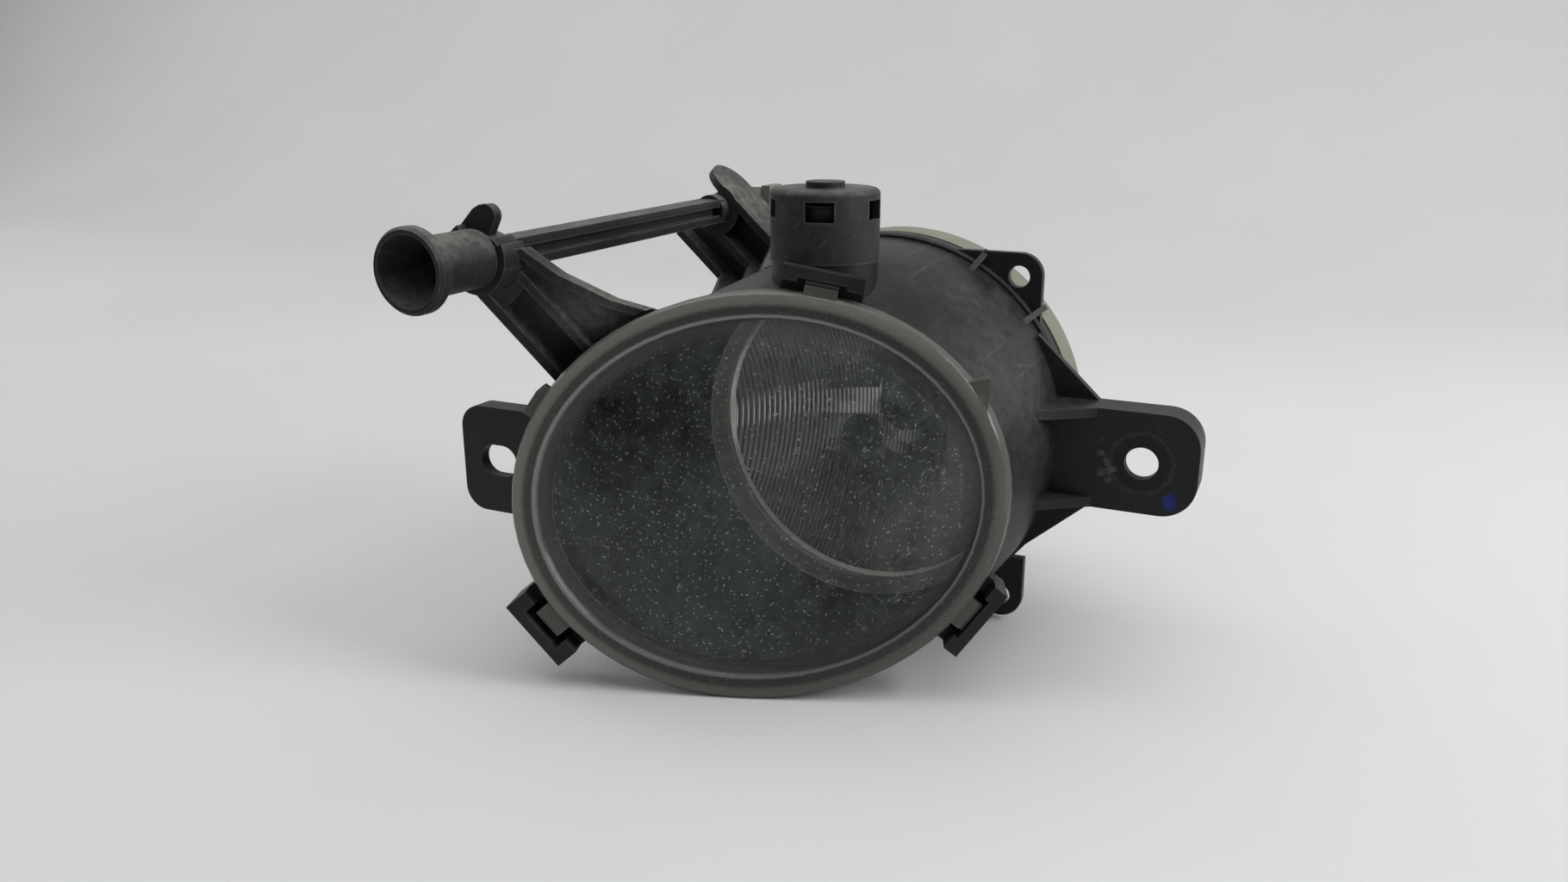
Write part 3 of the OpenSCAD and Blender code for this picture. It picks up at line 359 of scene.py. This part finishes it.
def ramp(tree, value, stops):
    """A colour ramp through stops of position and grey or colour."""
    node = add(tree, "ShaderNodeValToRGB", {"Fac": value})
    points = node.color_ramp.elements
    while len(points) < len(stops):
        points.new(1.0)
    for point, (at, colour) in zip(points, stops):
        point.position = at
        point.color = tint(colour if isinstance(colour, tuple) else (colour,) * 3)
    return node.outputs["Color"]


def facing_up(tree):
    """1 where a surface faces up, 0 where it is upright or faces down."""
    normal = add(tree, "ShaderNodeNewGeometry").outputs["Normal"]
    return spread(tree, axes_of(tree, normal)["Z"], low=0.05, high=0.95)


def edges(tree, width):
    """1 along edges and 0 away from them, from how a rounded normal departs from the real one."""
    soft = add(tree, "ShaderNodeBevel", {"Radius": width * MM}, samples=4).outputs["Normal"]
    real = add(tree, "ShaderNodeNewGeometry").outputs["Normal"]
    alike = add(tree, "ShaderNodeVectorMath", {0: soft, 1: real}, operation="DOT_PRODUCT").outputs["Value"]
    return spread(tree, alike, low=0.8, high=0.98, to_low=1.0, to_high=0.0)


def specks(tree, scale, size, turn=0.0, length=1.0, share=0.5):
    """Scattered marks on upright faces, dots or short strokes: each cell of the pattern holds one or none."""
    inputs = {"Vector": place(tree), "Rotation": (0, math.radians(turn), 0), "Scale": (length, 1, 1)}
    turned = add(tree, "ShaderNodeMapping", inputs, vector_type="TEXTURE").outputs["Vector"]
    parts = axes_of(tree, turned)
    flat = add(tree, "ShaderNodeCombineXYZ", {"X": parts["X"], "Y": parts["Z"]}).outputs["Vector"]
    inputs = {"Vector": flat, "Scale": scale}
    cells = add(tree, "ShaderNodeTexVoronoi", inputs, voronoi_dimensions="2D").outputs
    chance = add(tree, "ShaderNodeSeparateColor", {0: cells["Color"]}).outputs["Red"]
    near = spread(tree, cells["Distance"], size * SPECK_CORE, size, to_low=1.0, to_high=0.0)
    return times(tree, near, spread(tree, chance, 1.0 - share, 1.0))


def ring_mask(tree, centre, inner, outer, ragged):
    """1 between two distances from a place on the lamp, with edges as ragged as told."""
    shift = pattern(tree, scale=600.0, low=0.3, high=0.7, to_low=-ragged * MM, to_high=ragged * MM)
    away = maths(tree, "ADD", away_from(tree, centre), shift)
    within = spread(tree, away, (outer - MARK_EDGE) * MM, (outer + MARK_EDGE) * MM, to_low=1.0, to_high=0.0)
    if not inner:
        return within
    return times(tree, within, spread(tree, away, (inner - MARK_EDGE) * MM, (inner + MARK_EDGE) * MM))


def spot(tree, centre, radius, strength):
    """The strength at a place on the lamp, falling to 0 at a distance from it."""
    return spread(tree, away_from(tree, centre), 0.0, radius * MM, to_low=strength, to_high=0.0)


def bump(tree, shader, height, strength):
    """Gives a shader fine grain from a height."""
    inputs = {"Height": height, "Strength": strength, "Distance": GRAIN_DEPTH * MM}
    feed(tree, shader, Normal=add(tree, "ShaderNodeBump", inputs).outputs["Normal"])


# Materials


def dusty_plastic(name, dark, dust, amount, rough=(0.42, 0.68), gloss=0.14, grain=0.12, marks=(), edge_wear_and_highlight=0.0,
                  upright=0.1, even=0.3, scuff=0.1, painted_light_spots=()):
    """Moulded plastic: dust gathers on what faces up, with grain, grit, scuffs and any painted marks.

    upright is the share of dust on upright faces, even the least share of its clouds, and the edge wear and
    scuff the strength of worn edges, which carry a painted highlight, and of scuffs. The spots are places
    made lighter in the dust's colour where light falls: painted light.
    """
    made, tree, shader = new_material(name, Specular_IOR_Level=gloss)
    clouds = pattern(tree, scale=45.0, detail=6.0, low=0.36, high=0.7, to_low=even)
    fine = pattern(tree, scale=420.0, detail=5.0, rough=0.7, low=0.35, high=0.75, to_low=0.3)
    grit = pattern(tree, scale=1300.0, detail=2.0, low=0.68, high=0.73)
    top = spread(tree, facing_up(tree), 0.0, 1.0, to_low=upright)
    cover = times(tree, times(tree, clouds, fine), top)
    cover = plus(tree, cover, grit, GRIT_STRENGTH)
    cover = plus(tree, cover, strongest(tree, [specks(tree, **scratch) for scratch in SCUFFS]), scuff)
    # Worn edges in the dust's colour: real wear, with a painted highlight along the edges
    if edge_wear_and_highlight:
        broken = pattern(tree, scale=160.0, low=0.35, high=0.65, to_low=0.3)
        cover = plus(tree, cover, times(tree, edges(tree, EDGE_WEAR_AND_HIGHLIGHT_WIDTH), broken), edge_wear_and_highlight)
    colour = mix(tree, times(tree, cover, amount), tint(dark), tint(dust))
    for centre, inner, outer, ragged, strength, paint in marks:
        mask = ring_mask(tree, centre, inner, outer, ragged)
        colour = mix(tree, times(tree, mask, strength), colour, tint(paint))
    # Lighter patches in the dust's colour where light falls: painted light
    for centre, radius, strength in painted_light_spots:
        colour = mix(tree, times(tree, spot(tree, centre, radius, strength), fine), colour, tint(dust))
    smooth, dull = rough
    roughness = spread(tree, maths(tree, "ADD", clouds, fine), 0.2, 1.8, to_low=smooth, to_high=dull)
    feed(tree, shader, Base_Color=colour, Roughness=roughness)
    if grain:
        bump(tree, shader, noise(tree, scale=1400.0, detail=3.0), grain)
    return made


def lens_plastic(name):
    """Clear plastic under dust: frosted near the rim, dark at the groove with a painted highlight line just
    inside it, lighter towards the rim's top and left as painted light and shade, and specked all over.
    """
    made, tree, shader = new_material(name, IOR=1.5, Specular_IOR_Level=0.35)
    inset = add(tree, "ShaderNodeAttribute", attribute_name="inset").outputs["Fac"]
    reached = maths(tree, "DIVIDE", inset, LENS_REACH)
    middle = spread(tree, inset, *MIDDLE_INSETS)

    cloud = pattern(tree, scale=28.0, detail=7.0, rough=0.65, low=0.3, high=0.72, to_low=-0.4, to_high=0.3)
    mottle = pattern(tree, scale=260.0, detail=5.0, rough=0.6, low=0.3, high=0.7, to_low=-0.3, to_high=0.3)
    wiped = strongest(tree, [spot(tree, *wipe) for wipe in WIPED])
    wiped = times(tree, wiped, pattern(tree, scale=90.0, detail=6.0, rough=0.7, low=0.38, high=0.6))
    uneven = maths(tree, "SUBTRACT", maths(tree, "ADD", cloud, mottle), wiped)
    film = ramp(tree, reached, [(at / LENS_REACH, grey) for at, grey in LENS_FILM])
    film = times(tree, film, plus(tree, 1.0, middle, uneven))
    marks = strongest(tree, [specks(tree, **mark) for mark in LENS_MARKS])
    marks = times(tree, marks, spread(tree, middle, 0.0, 1.0, to_low=RIM_MARK_STRENGTH))
    cover = plus(tree, film, marks, LENS_MARK_COVER)

    # Painted light and shade on the rim: lighter towards its top and its left, as if lit from the upper left
    parts = axes_of(tree, place(tree))
    heights = [z * MM for z in RIM_PAINTED_LIGHT_HEIGHTS]
    sides = [(x - RIGHT_HOLE.x) * MM for x in RIM_PAINTED_LIGHT_SIDES]
    height = spread(tree, parts["Z"], *heights, *RIM_HEIGHT_SHADES)
    side = spread(tree, parts["X"], *sides, *RIM_SIDE_SHADES)
    shade = spread(tree, middle, 0.0, 1.0, to_low=times(tree, height, side))
    # The tone ramp holds a painted highlight line about 5.7 mm in from the edge
    tone = ramp(tree, reached, [(at / LENS_REACH, colour) for at, colour in LENS_TONES_WITH_HIGHLIGHT])
    tone = add(tree, "ShaderNodeVectorMath", {0: tone, "Scale": shade}, operation="SCALE").outputs["Vector"]

    feed(tree, shader,
         Alpha=maths(tree, "MINIMUM", cover, LENS_MOST_COVER),
         Base_Color=mix(tree, marks, tone, tint(LENS_MARK_TONE)),
         Roughness=pattern(tree, scale=60.0, low=0.3, high=0.7, to_low=0.12, to_high=0.3))
    return made


def ringed_plastic(name, dark, light):
    """Smooth plastic with a painted highlight, light and metal-like, along both edges of the bezel's ring."""
    made, tree, shader = new_material(name, Specular_IOR_Level=0.3)
    depths = [(y - RIGHT_HOLE.y) * MM for y in (BEZEL_RING_Y, BEZEL_THROAT_Y)]
    band = spread(tree, axes_of(tree, place(tree))["Y"], *depths)
    patch = pattern(tree, scale=60.0, detail=5.0, low=0.3, high=0.7, to_low=0.55)
    # Painted highlight: light, metal-like lines along both edges of the ring
    painted_highlight = times(tree, ramp(tree, band, BEZEL_RING_PAINTED_HIGHLIGHT), patch)
    feed(tree, shader,
         Base_Color=mix(tree, painted_highlight, tint(dark), tint(light)),
         Metallic=painted_highlight,
         Roughness=spread(tree, patch, 0.5, 1.0, to_low=0.25, to_high=0.45))
    return made


def clear_plastic(name, colour, haze, rough):
    """Clear plastic or glass with a faint uneven film."""
    made, tree, shader = new_material(name, Roughness=rough, IOR=1.5, Specular_IOR_Level=0.35)
    least, most = haze
    film = pattern(tree, scale=35.0, detail=6.0, rough=0.6, low=0.3, high=0.75, to_low=least, to_high=most)
    cloud = pattern(tree, scale=120.0, low=0.3, high=0.7)
    feed(tree, shader, Alpha=film, Base_Color=mix(tree, cloud, tint(colour, 0.7), tint(colour)))
    return made


def metal(name, colour, rough, scale):
    """Metal with a grain of the given scale in its colour and gloss."""
    made, tree, shader = new_material(name, Metallic=1.0)
    grain = noise(tree, scale)
    feed(tree, shader,
         Base_Color=mix(tree, grain, tint(colour, 0.75), tint(colour)),
         Roughness=spread(tree, grain, 0.3, 0.7, to_low=rough * 0.7, to_high=rough * 1.5))
    return made


def rubber(name, colour):
    """Dull rubber with fine grain."""
    made, tree, shader = new_material(name, Specular_IOR_Level=0.3)
    grain = noise(tree, scale=300.0)
    feed(tree, shader,
         Base_Color=mix(tree, grain, tint(colour, 0.6), tint(colour, 1.4)),
         Roughness=spread(tree, grain, 0.3, 0.7, to_low=0.6, to_high=0.85))
    bump(tree, shader, noise(tree, scale=1800.0), strength=0.2)
    return made


# CAD nodes


def dress(name, materials):
    """Gives a CAD node its materials, in slot order."""
    slots = nodes[name].data.materials
    slots.clear()
    for material in materials:
        slots.append(material)


def paint_faces(name, choose):
    """Sets each face's slot from its centre and normal."""
    for face in nodes[name].data.polygons:
        face.material_index = choose(face.center, face.normal)


def soften(name):
    """Smooth shading that keeps sharp edges."""
    node = nodes[name]
    node.modifiers.new("weld", "WELD").merge_threshold = WELD_GAP * MM
    node.data.shade_smooth()
    split_edges(node, SHARP_ANGLE)


def split_edges(made, angle):
    """Keeps the edges of a smooth piece that are sharper than an angle in degrees."""
    made.modifiers.new("edges", "EDGE_SPLIT").split_angle = math.radians(angle)


def lens_slot(centre, normal):
    """The lens's finish on a face."""
    inset, depth = lens_coordinates(centre)
    if depth > BACK_DEPTH:
        return LENS_BACK
    if inset < LUG_INSET:
        return LENS_LUG
    if inset < EDGE_INSET:
        return LENS_RIM
    if normal.y < 0:
        return LENS_FRONT
    return LENS_BACK if inset > CLEAR_INSET else LENS_RIM


def bezel_slot(centre, normal):
    """0 for the funnel and 1 for the ring round the opening."""
    return int(lamp_point(centre).y > BEZEL_RING_Y and normal.y < BEZEL_RING_FACING)


def reflector_slot(centre, normal):
    """0 for the metallised inside and 1 for the back."""
    return int(normal.y >= 0 or lamp_point(centre).y >= BOWL_BACK_Y)


def glass_slot(centre, normal):
    """0 for the clear glass and 1 for its black tip."""
    return int(lamp_point(centre).y < BLACK_TIP_Y)


# New pieces


def piece(name, verts, faces, material):
    """A smooth-shaded mesh object with one material."""
    mesh = bpy.data.meshes.new(name)
    mesh.from_pydata(verts, [], faces)
    mesh.shade_smooth()
    mesh.materials.append(material)
    made = bpy.data.objects.new(name, mesh)
    bpy.context.scene.collection.objects.link(made)
    return made


def helix_thread(material):
    """A V-shaped ridge wound along the spindle's tail, as one mesh strip."""
    turns = THREAD_LENGTH / THREAD_PITCH - 1.0
    steps = int(turns * THREAD_TURN_STEPS)
    sides = len(THREAD_PROFILE)
    verts, faces = [], []
    for i in range(steps + 1):
        share = i / steps
        angle = share * turns * 2 * math.pi
        ease = min(1.0, share / THREAD_RUNOUT, (1 - share) / THREAD_RUNOUT)
        middle = THREAD_Y + 0.5 * THREAD_PITCH + share * (THREAD_LENGTH - THREAD_PITCH)
        for rise, shift in THREAD_PROFILE:
            radius = THREAD_RADIUS + (rise * ease if rise > 0 else rise)
            x = SPINDLE_X + radius * math.cos(angle)
            z = SPINDLE_Z + radius * math.sin(angle)
            verts.append(row(x, middle + shift * THREAD_PITCH, z))
    for i in range(steps):
        a, b = sides * i, sides * (i + 1)
        faces += [(a + k, a + k + 1, b + k + 1, b + k) for k in range(sides - 1)]
    faces += [tuple(reversed(range(sides))), tuple(range(sides * steps, sides * (steps + 1)))]
    return piece("spindle_thread", verts, faces, material)


def flute_depth(x):
    """Depth of the flutes at a place from left to right."""
    for (x0, d0), (x1, d1) in zip(FLUTE_DEPTHS, FLUTE_DEPTHS[1:]):
        if x < x1:
            return d0 + (d1 - d0) * max(0.0, x - x0) / (x1 - x0)
    return FLUTE_DEPTHS[-1][1]


def reflector_face(material):
    """A thin sheet of vertical flutes over the bowl's inside, open round the bulb."""
    verts, faces, lines = [], [], []
    columns = int(2 * BOWL_RADIUS / FLUTE_PITCH) * FLUTE_STEPS
    half = BOWL_RADIUS - FACE_MARGIN
    for i in range(columns + 1):
        x = half * (2 * i / columns - 1)
        reach = math.sqrt(BOWL_RADIUS ** 2 - x * x)
        gap = math.sqrt(max(0.0, BULB_HOLE ** 2 - x * x))
        lift = FACE_LIFT + flute_depth(x) * abs(math.sin(math.pi * i / FLUTE_STEPS))
        heights = [gap + (reach - gap) * k / FLUTE_ROWS for k in range(FLUTE_ROWS + 1)]
        line = [-z for z in reversed(heights)] + heights
        lines.append(range(len(verts), len(verts) + len(line)))
        verts += [row(x, BOWL_VERTEX_Y - (x * x + z * z) / (4 * BOWL_FOCAL) - lift, z) for z in line]
    for a, b in zip(lines, lines[1:]):
        faces += [(a[k], a[k + 1], b[k + 1], b[k]) for k in range(len(a) - 1) if k != FLUTE_ROWS]
    made = piece("reflector_face", verts, faces, material)
    made.modifiers.new("weld", "WELD").merge_threshold = FACE_WELD * MM
    sheet = made.modifiers.new("sheet", "SOLIDIFY")
    sheet.thickness = FACE_SHEET * MM
    sheet.offset = -1.0
    split_edges(made, FACE_ANGLE)
    return made


def reflector_lip(material):
    """A smooth ring that flares at the bowl's front edge."""
    sides = len(LIP)
    verts, faces = [], []
    for i in range(LIP_STEPS):
        angle = 2 * math.pi * i / LIP_STEPS
        verts += [row(radius * math.cos(angle), y, radius * math.sin(angle)) for radius, y in LIP]
        a, b = i * sides, (i + 1) % LIP_STEPS * sides
        faces += [(a + k, b + k, b + (k + 1) % sides, a + (k + 1) % sides) for k in range(sides)]
    made = piece("reflector_lip", verts, faces, material)
    split_edges(made, LIP_ANGLE)
    return made


# Surroundings


def sweep_backdrop(material):
    """A floor that curves up into an upright backdrop."""
    bend = [math.radians(90.0 * k / BEND_STEPS) for k in range(BEND_STEPS + 1)]
    line = [(FLOOR_FRONT, 0.0)]
    line += [(BEND_START + BEND_RADIUS * math.sin(t), BEND_RADIUS * (1 - math.cos(t))) for t in bend]
    line += [(BEND_START + BEND_RADIUS, BACKDROP_TOP)]
    floor_z = cad_box[0][2]
    verts = [(side * FLOOR_HALF, y, floor_z + z) for y, z in line for side in (-1, 1)]
    faces = [(2 * k, 2 * k + 1, 2 * k + 3, 2 * k + 2) for k in range(len(line) - 1)]
    return piece("floor", verts, faces, material)


def floor_paint():
    """Pale paint with faint clouds."""
    made, tree, shader = new_material("pale_floor", Roughness=0.7, Specular_IOR_Level=0.2)
    cloud = noise(tree, scale=6.0, detail=5.0)
    feed(tree, shader, Base_Color=mix(tree, cloud, *[tint(tone) for tone in FLOOR_TONES]))
    return made


def studio_world():
    """A plain world that is brighter towards the top."""
    world = bpy.data.worlds.new("studio")
    world.use_nodes = True
    tree = world.node_tree
    direction = add(tree, "ShaderNodeTexCoord").outputs["Generated"]
    strength = spread(tree, axes_of(tree, direction)["Z"], *SKY_HEIGHTS, *SKY_STRENGTHS)
    feed(tree, tree.nodes["Background"], Color=tint(SKY_COLOUR), Strength=strength)
    bpy.context.scene.world = world


def area_light(name, at, aim, size, watts):
    """A rectangular lamp that points at a place."""
    data = bpy.data.lights.new(name, "AREA")
    data.shape = "RECTANGLE"
    data.size, data.size_y = size
    data.energy = watts
    light = bpy.data.objects.new(name, data)
    light.location = row(*at)
    light.rotation_euler = (row(*aim) - row(*at)).to_track_quat("-Z", "Y").to_euler()
    bpy.context.scene.collection.objects.link(light)


def photo_camera():
    """The camera at the photograph's place and angle."""
    azimuth, elevation = math.radians(CAMERA_AZIMUTH), math.radians(CAMERA_ELEVATION)
    level = Vector((-math.sin(azimuth), math.cos(azimuth), 0))
    forward = level * math.cos(elevation) - Vector((0, 0, math.sin(elevation)))
    right = Vector((math.cos(azimuth), math.sin(azimuth), 0))
    turn = Matrix((right, right.cross(forward), -forward)).transposed().to_4x4()
    data = bpy.data.cameras.new("camera")
    data.sensor_width = SENSOR_WIDTH
    data.sensor_fit = "HORIZONTAL"
    data.lens = SENSOR_WIDTH * FOCAL_PIXELS / IMAGE_WIDTH
    data.clip_start = CLIP_START * MM
    camera = bpy.data.objects.new("camera", data)
    camera.matrix_world = Matrix.Translation(row(*CAMERA_AT)) @ turn
    bpy.context.scene.collection.objects.link(camera)
    bpy.context.scene.camera = camera


# Materials of the lamp

BLACK = dict(dark=(0.0085, 0.0097, 0.0102), dust=(0.22, 0.218, 0.2), amount=1.0, edge_wear_and_highlight=0.3)
black = dusty_plastic("black_plastic", **BLACK)
arm_black = dusty_plastic("arm_plastic", **BLACK, painted_light_spots=ARM_PAINTED_LIGHT)
cap_black = dusty_plastic(
    "cap_plastic", dark=(0.0145, 0.0158, 0.016), dust=(0.2, 0.198, 0.18), amount=1.15, edge_wear_and_highlight=0.3, upright=0.22)
barrel = dusty_plastic(
    "barrel_plastic", dark=(0.0075, 0.0088, 0.0095), dust=(0.125, 0.125, 0.118), amount=0.55,
    rough=(0.36, 0.6), gloss=0.24, marks=EAR_MARKS, edge_wear_and_highlight=0.4, upright=0.2, even=0.05, scuff=0.3,
    painted_light_spots=BARREL_PAINTED_LIGHT)
rim = dusty_plastic(
    "frosted_rim", dark=(0.07, 0.068, 0.06), dust=(0.13, 0.126, 0.11), amount=0.6, rough=(0.35, 0.6),
    gloss=0.3, grain=0.0)
lug = dusty_plastic(
    "clear_lug", dark=(0.05, 0.047, 0.042), dust=(0.22, 0.205, 0.185), amount=0.6, rough=(0.25, 0.4),
    gloss=0.4, grain=0.0, edge_wear_and_highlight=0.7)
clear = lens_plastic("lens_front")
clear_back = clear_plastic("lens_back", colour=(0.1, 0.1, 0.1), haze=(0.02, 0.05), rough=0.08)
bezel_black = dusty_plastic(
    "bezel_plastic", dark=(0.005, 0.0055, 0.006), dust=(0.02, 0.02, 0.02), amount=0.4, rough=(0.3, 0.5),
    gloss=0.2, grain=0.0)
ring_grey = ringed_plastic("bezel_ring", dark=(0.24, 0.243, 0.23), light=(0.8, 0.78, 0.7))
beige = dusty_plastic(
    "beige_shell", dark=(0.165, 0.161, 0.126), dust=(0.3, 0.295, 0.255), amount=0.65, rough=(0.5, 0.75),
    edge_wear_and_highlight=0.4, upright=0.4)
nylon = dusty_plastic("nylon", dark=(0.5, 0.48, 0.42), dust=(0.6, 0.58, 0.52), amount=0.4)
base_black = dusty_plastic(
    "bulb_base_plastic", dark=(0.009, 0.009, 0.01), dust=(0.1, 0.1, 0.096), amount=0.6, gloss=0.25, edge_wear_and_highlight=0.4,
    upright=0.25)
bulb_black = dusty_plastic(
    "bulb_tip", dark=(0.012, 0.012, 0.013), dust=(0.05, 0.05, 0.05), amount=0.3, rough=(0.25, 0.4))
bulb_clear = clear_plastic("bulb_glass", colour=(0.3, 0.3, 0.3), haze=(0.06, 0.12), rough=0.03)
silver = metal("metallised", colour=(0.62, 0.615, 0.58), rough=0.13, scale=60.0)
satin = metal("satin_lip", colour=(0.78, 0.76, 0.68), rough=0.28, scale=150.0)
steel = metal("steel", colour=(0.5, 0.5, 0.5), rough=0.3, scale=400.0)
dull_steel = metal("dull_steel", colour=(0.13, 0.13, 0.13), rough=0.4, scale=300.0)
brass = metal("terminal_metal", colour=(0.62, 0.55, 0.38), rough=0.25, scale=500.0)
soft_black = rubber("black_rubber", colour=(0.02, 0.02, 0.02))
soft_red = rubber("red_seal", colour=(0.35, 0.06, 0.03))
# The vent membrane is made dark grey so that the cap's windows read dark: painted shade
membrane_painted_shade = rubber("membrane", colour=(0.05, 0.05, 0.05))

# Finishes of the CAD nodes, in slot order

finishes = {
    "housing": [barrel],
    "front_arm": [arm_black],
    "rear_arm": [black],
    "adjuster_spindle": [black],
    "vent_cap": [cap_black],
    "vent_membrane": [membrane_painted_shade],
    "lens": [clear, clear_back, rim, lug],
    "lens_seal": [soft_black],
    "rear_seal": [soft_black],
    "bezel": [bezel_black, ring_grey],
    "reflector": [silver, beige],
    "rear_shell": [beige],
    "pivot_pins": [steel],
    "spindle_clip": [steel],
    "reflector_screws": [steel],
    "adjuster_nut": [nylon],
    "bulb_base": [base_black],
    "bulb_collar": [dull_steel],
    "bulb_glass": [bulb_clear, bulb_black],
    "bulb_seal": [soft_red],
    "filament": [steel],
    "terminals": [brass],
}
for name, materials in finishes.items():
    dress(name, materials)

inset_of = nodes["lens"].data.attributes.new("inset", "FLOAT", "POINT")
for vertex, value in zip(nodes["lens"].data.vertices, inset_of.data):
    value.value = max(0.0, lens_coordinates(vertex.co)[0])
paint_faces("lens", lens_slot)
paint_faces("bezel", bezel_slot)
paint_faces("reflector", reflector_slot)
paint_faces("bulb_glass", glass_slot)

for name in finishes:
    if name not in FLAT_SHADED:
        soften(name)

# Thread, and the reflector's face and lip

thread = helix_thread(black)
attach(thread, "adjuster")
for made in (reflector_face(silver), reflector_lip(satin)):
    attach(made, "reflector")

# Floor, light and camera

sweep_backdrop(floor_paint())
studio_world()
for light in LIGHTS:
    area_light(*light)
photo_camera()
bpy.context.scene.view_settings.view_transform = "Standard"
